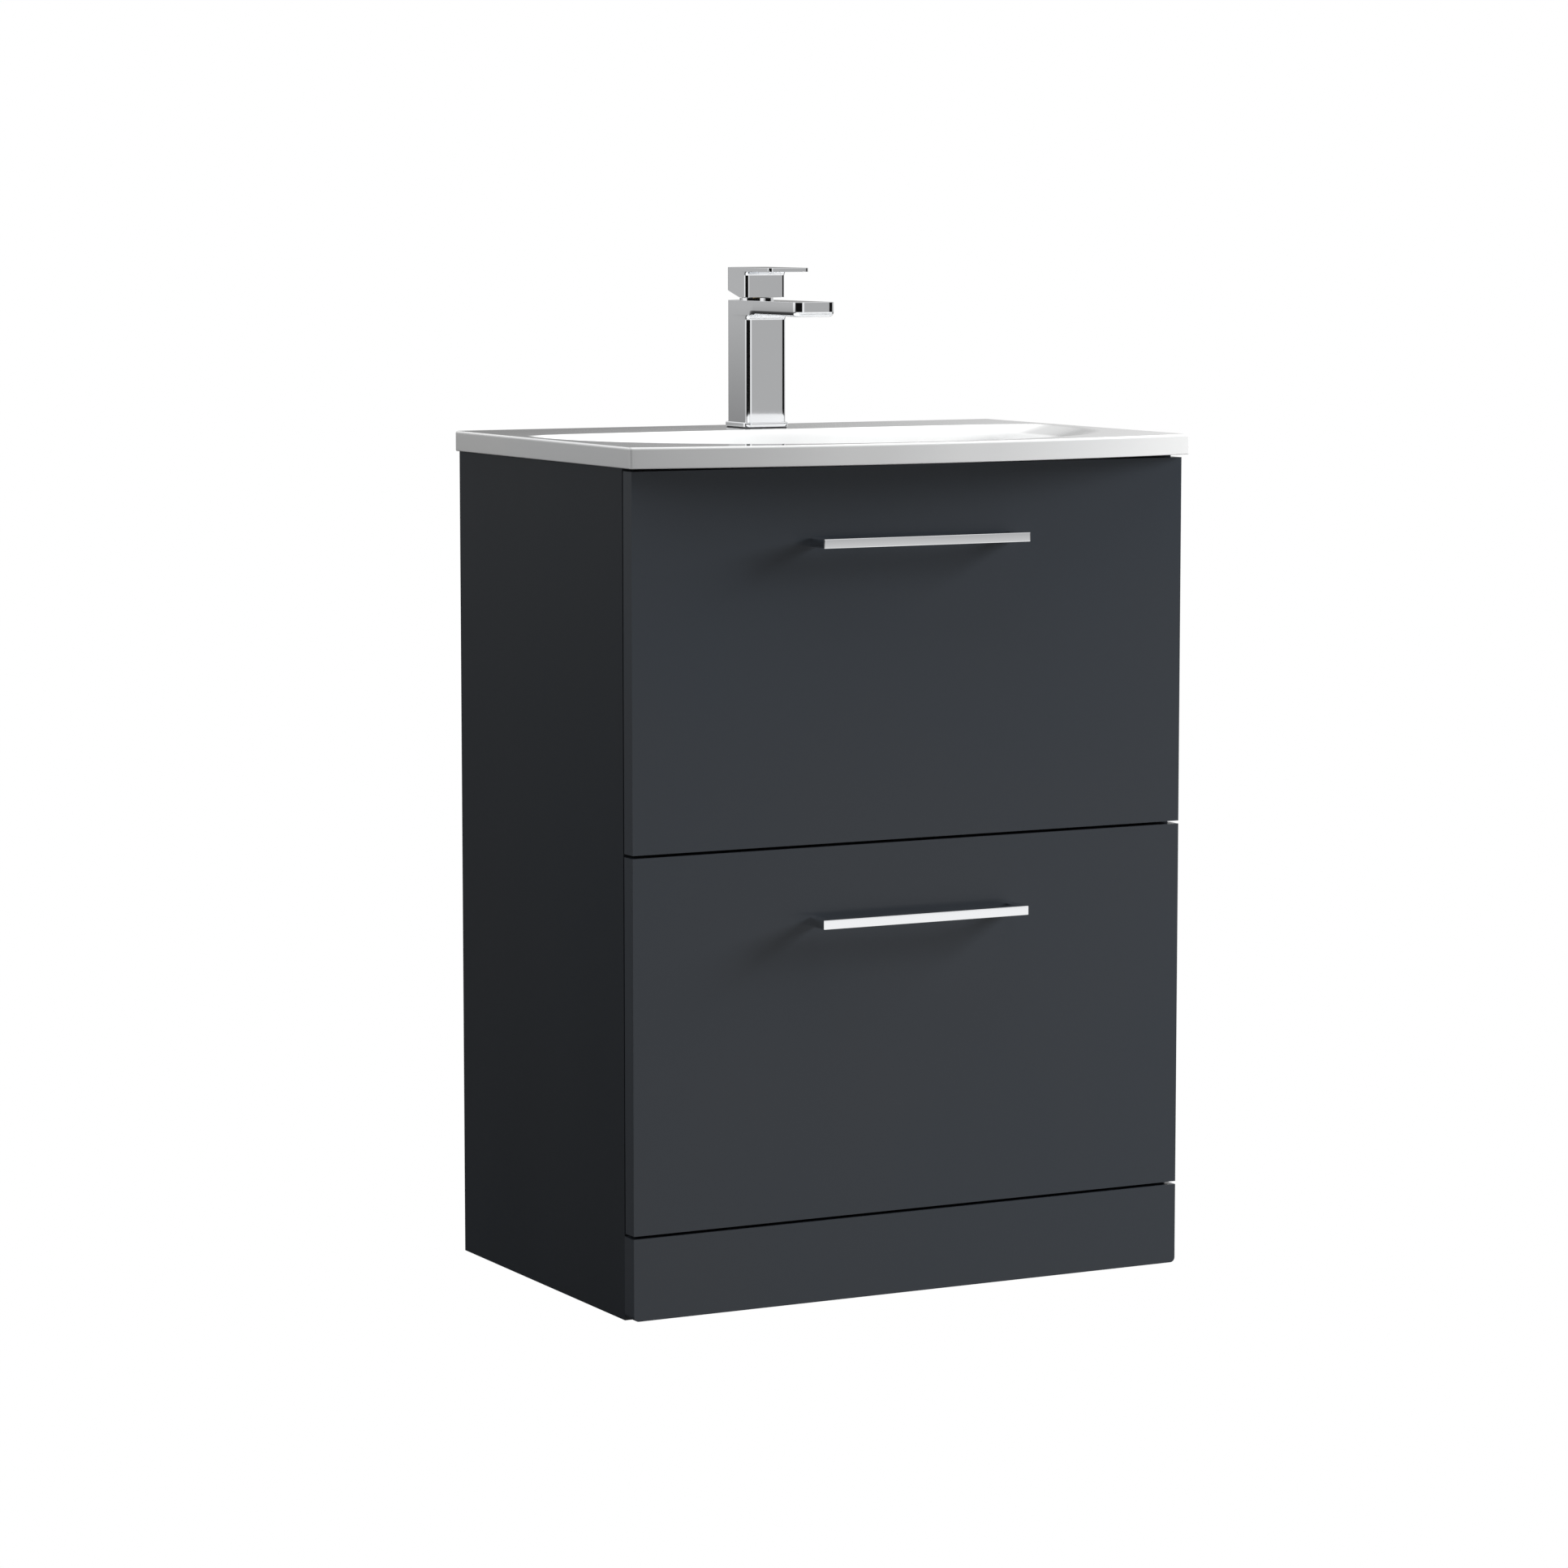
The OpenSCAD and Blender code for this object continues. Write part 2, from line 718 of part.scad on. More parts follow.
module box_side(z, h) {
    color("#8d9196") difference() {
        block([x_box - box_t, y_front_back, z], [x_box, y_box_back, z + h]);
        block([x_box - box_t - 1, y_front_back - 1, z + bottom_lift - slip],
              [x_box - box_t + groove, y_box_back + 1,
               z + bottom_lift + bottom_t + slip]);
        box_dowel_shape(z, h, hole_gap);
    }
}

// The back of a box; an inside gap leaves room for the pipe recess
module box_back(z, h, gap_w) {
    half = x_box - box_t;
    z0 = z + bottom_lift + bottom_t;
    color("#8d9196") difference() {
        block([-half, y_box_back - box_t, z0], [half, y_box_back, z + h]);
        if (gap_w > 0)
            block([-gap_w / 2, y_box_back - box_t - 1, z0 - 1],
                  [gap_w / 2, y_box_back + 1, z + h + 1]);
        pair() box_dowel_shape(z, h, hole_gap);
    }
}

module box_bottom(z, cut_w, y_cut) {
    half = x_box - box_t + groove - slip;
    color("#8d9196") difference() {
        block([-half, y_front_back, z + bottom_lift],
              [half, y_box_back, z + bottom_lift + bottom_t]);
        if (cut_w > 0)
            block([-cut_w / 2, y_cut, z + bottom_lift - 1],
                  [cut_w / 2, y_box_back + 1, z + bottom_lift + bottom_t + 1]);
    }
}

module handle(z) {
    y_out = y_face - handle_out;
    s = handle_s;
    edge = 0.8;
    color("#c4c8cc") difference() {
        union() {
            translate([0, 0, z - s / 2]) linear_extrude(s)
                round_rect([-handle_l / 2, y_out], [handle_l / 2, y_out + s], edge);
            pair() translate([0, 0, z - s / 2]) linear_extrude(s) {
                translate([handle_l / 2 - s, y_out + s / 2])
                    square([s, handle_out - s / 2]);
            }
        }
        pair() handle_screw_shape(z, hole_gap);
    }
}

module handle_screws(z) {
    color("#b8b8b8") pair() handle_screw_shape(z, 0);
}

// --- upper drawer -----------------------------------------------------
module upper_front() { drawer_front(z_up, z_upper_box, upper_box_h); }
module upper_box_right() { box_side(z_upper_box, upper_box_h); }
module upper_box_left() { mirror([1, 0, 0]) box_side(z_upper_box, upper_box_h); }
module upper_box_back() {
    box_back(z_upper_box, upper_box_h, recess_w + 2 * recess_t);
}
module upper_box_bottom() {
    box_bottom(z_upper_box, recess_w + 2 * recess_t, y_recess - recess_t);
}
module upper_box_dowels() {
    color("#c9a873") pair() box_dowel_shape(z_upper_box, upper_box_h, 0);
}
module upper_handle() { handle(z_up + front_h - handle_drop); }
module upper_handle_screws() { handle_screws(z_up + front_h - handle_drop); }

// A moulded U that lines the recess for the waste pipe
module upper_recess_liner() {
    half = recess_w / 2;
    color("#7d8186") difference() {
        block([-half - recess_t, y_recess - recess_t, z_upper_box + bottom_lift],
              [half + recess_t, y_box_back, z_upper_box + upper_box_h]);
        block([-half, y_recess, z_upper_box],
              [half, y_box_back + 1, z_upper_box + upper_box_h + 1]);
    }
}

// --- lower drawer -----------------------------------------------------
module lower_front() { drawer_front(z_low, z_lower_box, lower_box_h); }
module lower_box_right() { box_side(z_lower_box, lower_box_h); }
module lower_box_left() { mirror([1, 0, 0]) box_side(z_lower_box, lower_box_h); }
module lower_box_back() { box_back(z_lower_box, lower_box_h, 0); }
module lower_box_bottom() { box_bottom(z_lower_box, 0, 0); }
module lower_box_dowels() {
    color("#c9a873") pair() box_dowel_shape(z_lower_box, lower_box_h, 0);
}
module lower_handle() { handle(z_low + front_h - handle_drop); }
module lower_handle_screws() { handle_screws(z_low + front_h - handle_drop); }

// =====================================================================
// Basin
// =====================================================================

// One level of the bowl: an oval that is widest at y_wide, with squarer
// corners at the back than at the front
function oval(half, front, rear, y_wide, z, n_front) = [
    for (i = [0 : ring_n - 1])
        let (a = 360 * i / ring_n, c = cos(a), s = sin(a),
             n = s < 0 ? n_front : oval_rear,
             reach = s < 0 ? y_wide - front : rear - y_wide)
        [half * sign(c) * pow(abs(c), 2 / n),
         y_wide + reach * sign(s) * pow(abs(s), 2 / n), z]];

// A closed solid through a stack of levels, listed from the top down
module stack(levels) {
    n = len(levels);
    top = [for (i = [0 : ring_n - 1]) ring_n - 1 - i];
    bottom = [for (i = [0 : ring_n - 1]) (n - 1) * ring_n + i];
    walls = [for (k = [0 : n - 2], i = [0 : ring_n - 1])
        let (a = k * ring_n, b = a + ring_n, j = (i + 1) % ring_n)
        for (face = [[a + i, a + j, b + i], [a + j, b + j, b + i]]) face];
    polyhedron(points = [for (level = levels) for (p = level) p],
               faces = concat([top], [bottom], walls), convexity = 6);
}

// Share of the well left at angle a of its profile, 0 at the top
function well_share(a) = 1 - well_taper * (1 - cos(a));

// The level of the well at angle a, grown outwards by t
function well_level(a, t) =
    let (k = well_share(a),
         front = y_waste - (y_waste - y_well_front) * k - t,
         rear = y_waste + (y_well_rear - y_waste) * k + t)
    oval(well_half * k + t, front, rear, y_waste + (rear - y_waste) * well_wide,
         z_dish - (well_drop + t) * sin(a), well_front);

module bowl_hollow() {
    rim = oval(open_half, y_open, y_deck, y_deck - rim_wide, z_rim, oval_front);
    above = [for (p = rim) [p[0], p[1], z_rim + 2]];
    well = [for (k = [0 : well_n]) well_level(90 * k / well_n, 0)];
    stack(concat([above, rim], well));
}

module bowl_outside() {
    top = [for (p = well_level(0, ceramic_t)) [p[0], p[1], cabinet_h + 2]];
    stack(concat([top], [for (k = [1 : well_n]) well_level(90 * k / well_n, ceramic_t)]));
}

// The slab of the basin: straight sides and a bowed front edge
module basin_slab() {
    half = basin_w / 2;
    intersection() {
        round_block([-half, y_nose - 1, cabinet_h], [half, y_wall, z_rim], basin_r);
        translate([0, y_nose + bow_r, cabinet_h - 1])
            cylinder(r = bow_r, h = basin_t + 2, $fn = 360);
    }
}

// The outline of the overflow duct behind and under the bowl, seen from
// the side, grown by t
module duct_outline(t) {
    y_back = y_well_rear + ceramic_t + duct_t;
    translate([y_well_rear + ceramic_t - t, z_duct - t])
        square([duct_t + 2 * t, z_overflow + duct_head - z_duct + 2 * t]);
    translate([y_waste, z_duct - t])
        square([y_back - y_waste + t, duct_t + 2 * t]);
}

module basin() {
    color("white") difference() {
        union() {
            basin_slab();
            bowl_outside();
            extrude_x(-duct_w / 2 - duct_wall, duct_w / 2 + duct_wall)
                duct_outline(duct_wall);
            translate([0, y_waste, z_boss])
                cylinder(d = waste_flange_d + 2 * boss_rim, h = z_floor - z_boss - 2);
        }
        bowl_hollow();
        extrude_x(-duct_w / 2, duct_w / 2) duct_outline(0);
        rod_y(0, y_well_rear - 12, y_well_rear + ceramic_t + 1, z_overflow,
              overflow_d + 2 * hole_gap);
        translate([0, y_waste, z_boss - 1])
            cylinder(d = waste_hole_d, h = z_floor - z_boss + 6);
        translate([0, y_waste, z_flange])
            cylinder(d = waste_flange_d + 1, h = 10);
        translate([0, y_tap, cabinet_h - 1])
            cylinder(d = tap_hole_d, h = basin_t + 2);
    }
}

// A chrome ring pressed into the overflow hole
module overflow_ring() {
    lip_t = 2.5;
    lip_w = 3.5;
    wall = 1.5;
    y_lip = y_well_rear - 5.4;
    y_end = y_well_rear + ceramic_t - 1;
    color("#c4c8cc") difference() {
        union() {
            rod_y(0, y_lip - 1, y_end, z_overflow, overflow_d);
            rod_y(0, y_lip - lip_t, y_lip, z_overflow, overflow_d + 2 * lip_w);
        }
        rod_y(0, y_lip - lip_t - 1, y_end + 1, z_overflow, overflow_d - 2 * wall);
    }
}

// =====================================================================
// Waste and plug
// =====================================================================

module waste_seal() {
    color("#2b2b2b") translate([0, y_waste, z_flange]) difference() {
        cylinder(d = waste_flange_d - 1, h = seal_t);
        translate([0, 0, -1]) cylinder(d = waste_d + 4 * seat_gap, h = seal_t + 2);
    }
}

// Flange, threaded tail and the cross bar that guides the plug
module waste_body() {
    z_top = z_flange + seal_t;
    color("#c4c8cc") translate([0, y_waste, 0]) difference() {
        union() {
            translate([0, 0, z_top]) cylinder(d = waste_flange_d, h = flange_t);
            translate([0, 0, z_waste_end])
                cylinder(d = waste_d, h = z_nut - z_waste_end);
            translate([0, 0, z_waste_end + 1])
                cylinder(d = waste_root_d, h = z_top - z_waste_end);
        }
        difference() {
            translate([0, 0, z_waste_end - 1])
                cylinder(d = waste_bore_d, h = z_top - z_waste_end + flange_t + 2);
            for (turn = [0, 90]) rotate([0, 0, turn])
                translate([-waste_bore_d / 2 - 1, -guide_w / 2, z_guide])
                    cube([waste_bore_d + 2, guide_w, guide_h]);
            translate([0, 0, z_guide]) cylinder(d = stem_d + 6, h = guide_h);
        }
        translate([0, 0, z_guide - 1])
            cylinder(d = stem_d + 2 * run_gap, h = guide_h + 2);
        for (turn = [0, 90]) rotate([0, 0, turn + 45])
            translate([-waste_d, -overflow_slot / 2, z_duct + 2])
                cube([2 * waste_d, overflow_slot, duct_t - 4]);
    }
}

// A rubber washer and the plastic nut that clamps it
module waste_nut() {
    color("#3a3a3c") translate([0, y_waste, z_nut]) difference() {
        union() {
            cylinder(d = waste_nut_d, h = nut_h, $fn = 8);
            cylinder(d = waste_d + 2 * washer_w, h = nut_h + washer_t);
        }
        translate([0, 0, -1])
            cylinder(d = waste_root_d + 2 * seat_gap, h = nut_h + 2);
        translate([0, 0, nut_h])
            cylinder(d = waste_d + 2 * seat_gap, h = washer_t + 1);
    }
}

// A domed cap on a stem, pushed down to close
module waste_plug() {
    dome = 2;
    stem_below = 6;
    r = waste_flange_d / 2 - 2;
    dome_r = (r * r + dome * dome) / (2 * dome);
    color("#c4c8cc") translate([0, y_waste, 0]) rotate_extrude() {
        translate([0, z_cap]) square([r, cap_t - dome]);
        intersection() {
            translate([0, z_cap + cap_t - dome_r]) circle(dome_r, $fn = 720);
            translate([0, z_cap + cap_t - dome]) square([r, dome + 1]);
        }
        translate([0, z_guide - stem_below])
            square([stem_d / 2, z_cap - z_guide + stem_below + 0.5]);
    }
}

// The ring under the cap that closes the waste
module plug_seal() {
    ring_w = 9;
    ring_t = 1.5;
    color("#2b2b2b") translate([0, y_waste, z_cap - ring_t]) difference() {
        cylinder(d = stem_d + 2 * ring_w, h = ring_t);
        translate([0, 0, -1]) cylinder(d = stem_d + 0.02, h = ring_t + 2);
    }
}

// =====================================================================
// Tap
// =====================================================================

// Outline of the spout and column from the side, with the fillet below
// the spout
module tap_side_outline() {
    fillet = spout_fillet;
    y_front = y_tap - spout_reach;
    y_col = y_tap - tap_s / 2;
    difference() {
        union() {
            translate([y_col, z_foot]) square([tap_s, z_column - z_foot]);
            translate([y_front + tip_edge, z_column - spout_t])
                square([y_tap - y_front - tip_edge, spout_t]);
            translate([y_front, z_column - spout_t + tip_edge])
                square([tip_edge + 1, spout_t - tip_edge]);
            translate([y_front + tip_edge, z_column - spout_t + tip_edge])
                circle(tip_edge);
            translate([y_col - fillet, z_column - spout_t - fillet])
                square([fillet, fillet]);
        }
        translate([y_col - fillet, z_column - spout_t - fillet]) circle(fillet);
    }
}

// The spout and column from above, rounder at the spout's end
module tap_plan() {
    half = tap_s / 2;
    round_rect([-half, y_tap - spout_reach], [half, y_tap + half], tip_r);
    round_rect([-half, y_tap - half], [half, y_tap + half], tap_r);
}

module tap_body() {
    half = tap_s / 2;
    color("#c4c8cc") difference() {
        union() {
            intersection() {
                extrude_x(-half, half) tap_side_outline();
                translate([0, 0, z_foot]) linear_extrude(z_column - z_foot) tap_plan();
            }
            round_block([-foot_s / 2, y_tap - foot_s / 2, z_foot],
                        [foot_s / 2, y_tap + foot_s / 2, z_foot + foot_h], foot_r);
            translate([0, y_tap, z_rim - spigot_h])
                cylinder(d = spigot_d, h = spigot_h + gasket_t + 1);
        }
        // corners of the column that the spout outline leaves square
        difference() {
            block([-half - 1, y_tap - half - 1, z_foot + foot_h],
                  [half + 1, y_tap, z_column - spout_t - spout_fillet]);
            round_block([-half, y_tap - half, z_foot],
                        [half, y_tap + half, z_column], tap_r);
        }
        // cartridge chamber and the way through the spout
        translate([0, y_tap, z_column - cartridge_h])
            cylinder(d = cartridge_d + 2 * seat_gap, h = cartridge_h + 1);
        rod_y(0, y_aerator, y_tap, z_column - spout_t / 2, outlet_d);
        translate([0, y_aerator, z_column - spout_t - 1])
            cylinder(d = aerator_d + 2 * seat_gap, h = aerator_h + seat_gap + 1);
        // inlets up to the chamber, and the hole for the stud
        for (x = [-inlet_x, inlet_x]) translate([x, y_inlet, z_rim - spigot_h - 1])
            cylinder(d = inlet_d, h = inlet_h + spigot_h + 1);
        for (x = [-inlet_x, inlet_x]) translate([x, y_inlet, z_rim])
            cylinder(d = inlet_bore_d, h = z_column - cartridge_h - z_rim + 1);
        translate([0, y_stud, z_rim - spigot_h - 1])
            cylinder(d = stud_d + 2 * hole_gap, h = stud_in + spigot_h + 2);
    }
}

module tap_gasket() {
    s = foot_s / 2 - 1;
    color("#2b2b2b") difference() {
        round_block([-s, y_tap - s, z_rim], [s, y_tap + s, z_foot], foot_r - 1);
        translate([0, y_tap, z_rim - 1])
            cylinder(d = spigot_d + 2 * seat_gap, h = gasket_t + 2);
    }
}

module tap_cartridge() {
    z0 = z_column - cartridge_h;
    color("#e6e2d8") translate([0, y_tap, 0]) difference() {
        translate([0, 0, z0]) cylinder(d = cartridge_d, h = cartridge_h - collar_seat);
        translate([0, 0, z_pivot - spindle_h / 2 - part_gap])
            cylinder(d = spindle_d + 2 * run_gap, h = cartridge_h);
        translate([0, 0, z0 + cartridge_base]) cylinder(d = 20, h = cartridge_h);
        for (x = [-inlet_x, inlet_x]) translate([x, y_inlet - y_tap, z0 - 1])
            cylinder(d = inlet_bore_d - 1, h = cartridge_base + 2);
    }
}

// The round collar that holds the cartridge down
module tap_collar() {
    color("#c4c8cc") translate([0, y_tap, z_column - collar_seat]) difference() {
        cylinder(d = collar_d, h = collar_seat + collar_h);
        translate([0, 0, -1]) cylinder(d = spindle_d - 1, h = collar_h + 3);
    }
}

module tap_aerator() {
    color("#d5d8da") translate([0, y_aerator, z_column - spout_t]) difference() {
        cylinder(d = aerator_d, h = aerator_h);
        for (x = [-6 : 3 : 6], y = [-6 : 3 : 6]) if (norm([x, y]) < 8)
            translate([x, y, -1]) cylinder(d = 1.8, h = aerator_h + 2);
    }
}

module tap_stud() {
    color("#c9b36a") translate([0, y_stud, z_rim + stud_in - stud_l])
        cylinder(d = stud_d, h = stud_l);
}

// Rubber pad, steel horseshoe plate and hexagon nut under the deck
module tap_clamp() {
    z_plate_low = cabinet_h - clamp_pad_t - clamp_t;
    color("#9a9ea3") difference() {
        union() {
            difference() {
                translate([0, y_tap, z_plate_low])
                    cylinder(d = clamp_d, h = clamp_t + clamp_pad_t);
                inlet_slot(z_plate_low - 1, clamp_t + clamp_pad_t + 2);
            }
            translate([0, y_stud, z_plate_low - clamp_nut_h])
                cylinder(d = clamp_nut_d, h = clamp_nut_h, $fn = 6);
        }
        translate([0, y_stud, z_plate_low - clamp_nut_h - 1])
            cylinder(d = stud_d + 2 * hole_gap, h = 20);
    }
}

// The way for the hoses through the horseshoe plate
module inlet_slot(z, h) {
    r = inlet_x + inlet_d / 2;
    translate([0, y_inlet, z]) cylinder(r = r, h = h);
    block([-r, y_inlet, z], [r, y_inlet + clamp_d, z + h]);
}

// Turns in the cartridge and carries the pivot of the lever stem
module cartridge_spindle() {
    slot_w = lever_stem_d + 1;
    slot_l = 22;
    color("#f0efe9") translate([0, y_tap, z_pivot - spindle_h / 2]) difference() {
        cylinder(d = spindle_d, h = spindle_h);
        translate([-slot_w / 2, -slot_l / 2, -1])
            cube([slot_w, slot_l, spindle_h + 2]);
        translate([-spindle_d, 0, spindle_h / 2]) rotate([0, 90, 0])
            cylinder(d = pin_d + 2 * run_gap, h = 2 * spindle_d);
    }
}

// The stem in the lever and its pivot pin
module lever_stem() {
    color("#c9b36a") {
        translate([0, y_tap, z_pivot - 4])
            cylinder(d = lever_stem_d, h = z_lever + stem_in_lever - z_pivot + 4);
        rod_x(-spindle_d / 2 + 1.5, spindle_d / 2 - 1.5, y_tap, z_pivot, pin_d);
    }
}

// Outline of the lever from the side: block, plate, the fillet under
// the plate and the slanted corner that lets the lever lift
module lever_outline() {
    fillet = lever_fillet;
    y_tip = y_lever_back - lever_l;
    difference() {
        union() {
            translate([y_lever_front, z_lever]) square([lever_d, lever_h]);
            translate([y_tip, z_plate]) square([lever_l, lever_t]);
            translate([y_lever_front - fillet, z_plate - fillet])
                square([fillet, fillet]);
        }
        translate([y_lever_front - fillet, z_plate - fillet]) circle(fillet);
        polygon([[y_lever_back - chamfer_d, z_lever],
                 [y_lever_back + 1, z_lever + chamfer_h * (chamfer_d + 1) / chamfer_d],
                 [y_lever_back + 1, z_lever - 1],
                 [y_lever_back - chamfer_d, z_lever - 1]]);
    }
}

module tap_lever() {
    half = tap_s / 2;
    color("#c4c8cc") difference() {
        intersection() {
            extrude_x(-half, half) lever_outline();
            union() {
                round_block([-half, y_lever_back - lever_l, z_plate - 1],
                            [half, y_lever_back, z_plate + lever_t], lever_r);
                round_block([-half, y_lever_front, z_lever - 1],
                            [half, y_lever_back, z_plate + 1], lever_r);
                block([-half, y_lever_front - lever_fillet, z_plate - lever_fillet],
                      [half, y_lever_front + lever_r + 1, z_plate]);
            }
        }
        translate([0, y_tap, z_lever - 1])
            cylinder(d = lever_stem_d + 2 * hole_gap, h = stem_in_lever + 1.2);
        rod_y(0, y_tap + 2, y_lever_back + 1, z_grub, grub_d + 2 * hole_gap);
    }
}

// The grub screw that holds the lever on its stem
module lever_screw() {
    y0 = y_tap + lever_stem_d / 2 + hole_gap;
    color("#8f9398") difference() {
        rod_y(0, y0, y_lever_back - 3, z_grub, grub_d);
        translate([0, y_lever_back - 2, z_grub]) rotate([90, 0, 0])
            cylinder(d = grub_d / 2, h = 4, $fn = 6);
    }
}

// =====================================================================
// Nodes
// =====================================================================
side_panel_left();
side_panel_right();
base_panel();
back_panel();
rear_rail_top();
rear_rail_low();
front_rail_top();
front_rail_mid();
plinth_front();
plinth_blocks();
carcass_dowels();
cam_bolts();
cam_locks();
wall_brackets();
bracket_screws();
upper_runner_outer();
lower_runner_outer();
runner_screws();
upper_runner_mid();
lower_runner_mid();
upper_runner_balls();
lower_runner_balls();
upper_runner_inner();
lower_runner_inner();
upper_front();
upper_box_left();
upper_box_right();
upper_box_back();
upper_box_bottom();
upper_recess_liner();
upper_box_dowels();
upper_handle();
upper_handle_screws();
lower_front();
lower_box_left();
lower_box_right();
lower_box_back();
lower_box_bottom();
lower_box_dowels();
lower_handle();
lower_handle_screws();
basin();
overflow_ring();
waste_body();
waste_seal();
waste_nut();
waste_plug();
plug_seal();
tap_body();
tap_gasket();
tap_cartridge();
tap_collar();
tap_aerator();
tap_stud();
tap_clamp();
cartridge_spindle();
tap_lever();
lever_stem();
lever_screw();
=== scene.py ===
"""Bathroom vanity cabinet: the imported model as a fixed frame, with finished
meshes for the basin, tap and handles, and procedural materials for all of it.

Lengths are in metres, and in millimetres where a mesh is made. X runs to the
right, Y to the wall and Z up, with the origin on the floor in the middle of
the footprint.
"""
import json
import math

import bmesh
import bpy
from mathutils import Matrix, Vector


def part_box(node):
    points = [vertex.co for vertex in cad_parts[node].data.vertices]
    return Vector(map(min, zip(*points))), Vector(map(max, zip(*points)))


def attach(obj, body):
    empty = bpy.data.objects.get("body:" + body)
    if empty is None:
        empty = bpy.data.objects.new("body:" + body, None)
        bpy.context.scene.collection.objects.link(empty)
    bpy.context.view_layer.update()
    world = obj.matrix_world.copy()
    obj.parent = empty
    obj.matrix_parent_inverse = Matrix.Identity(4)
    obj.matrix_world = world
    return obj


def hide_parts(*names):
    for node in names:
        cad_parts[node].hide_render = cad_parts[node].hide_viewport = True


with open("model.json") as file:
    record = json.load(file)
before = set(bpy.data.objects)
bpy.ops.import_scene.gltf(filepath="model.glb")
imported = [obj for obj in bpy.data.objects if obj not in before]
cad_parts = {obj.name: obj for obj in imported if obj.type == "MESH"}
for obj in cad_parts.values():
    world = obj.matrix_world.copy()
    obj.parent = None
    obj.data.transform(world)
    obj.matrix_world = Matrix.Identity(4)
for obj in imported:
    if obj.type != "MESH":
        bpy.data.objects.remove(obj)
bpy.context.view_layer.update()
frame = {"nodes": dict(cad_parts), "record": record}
NODES = frame["nodes"]
MM = 0.001


def box_mm(node):
    """Lowest and highest corner of a CAD node at rest, in millimetres."""
    return [[round(value / MM, 2) for value in corner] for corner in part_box(node)]


# ---------------------------------------------------------------------------
# Camera
# ---------------------------------------------------------------------------
CAMERA_PLACE = (-2.382, -4.450, 1.0549)
CAMERA_HEADING = math.radians(27.658)     # turned to the right of +Y
CAMERA_DIP = math.radians(6.490)          # below the horizon
CAMERA_LENS = 117.715                     # mm on a 36 mm sensor


def make_camera():
    data = bpy.data.cameras.new("camera")
    data.lens = CAMERA_LENS
    data.sensor_width = 36.0
    data.clip_end = 100.0
    camera = bpy.data.objects.new("camera", data)
    camera.location = CAMERA_PLACE
    camera.rotation_euler = (math.pi / 2 - CAMERA_DIP, 0.0, -CAMERA_HEADING)
    bpy.context.scene.collection.objects.link(camera)
    bpy.context.scene.camera = camera


# ---------------------------------------------------------------------------
# Shader node helpers
# ---------------------------------------------------------------------------
def plug(tree, value, socket):
    """Links a socket to another's output, or sets its number or colour."""
    if isinstance(value, bpy.types.NodeSocket):
        tree.links.new(value, socket)
    else:
        socket.default_value = (*value, 1.0) if isinstance(value, tuple) else value


def maths(tree, operation, *values):
    made = tree.nodes.new("ShaderNodeMath")
    made.operation = operation
    for value, socket in zip(values, made.inputs):
        plug(tree, value, socket)
    return made.outputs[0]


def ranged(tree, value, low, high, out_low=0.0, out_high=1.0):
    """value, mapped from low..high to out_low..out_high and clamped."""
    made = tree.nodes.new("ShaderNodeMapRange")
    numbers = {"Value": value, "From Min": low, "From Max": high,
               "To Min": out_low, "To Max": out_high}
    for name, number in numbers.items():
        plug(tree, number, made.inputs[name])
    return made.outputs[0]


def mix_colour(tree, factor, one, two, blend="MIX"):
    """A colour between one and two, or their product with MULTIPLY."""
    made = tree.nodes.new("ShaderNodeMix")
    made.data_type = "RGBA"
    made.blend_type = blend
    plug(tree, factor, made.inputs["Factor"])
    for value, socket in zip((one, two), [s for s in made.inputs if s.type == "RGBA"]):
        plug(tree, value, socket)
    return [s for s in made.outputs if s.type == "RGBA"][0]


def grey_ramp(tree, stops, factor):
    """The grey that the stops give at that factor."""
    made = tree.nodes.new("ShaderNodeValToRGB")
    elements = made.color_ramp.elements
    while len(elements) < len(stops):
        elements.new(0.5)
    for element, (place, value) in zip(elements, stops):
        element.position = place
        element.color = (value, value, value, 1.0)
    tree.links.new(factor, made.inputs[0])
    return made.outputs["Color"]


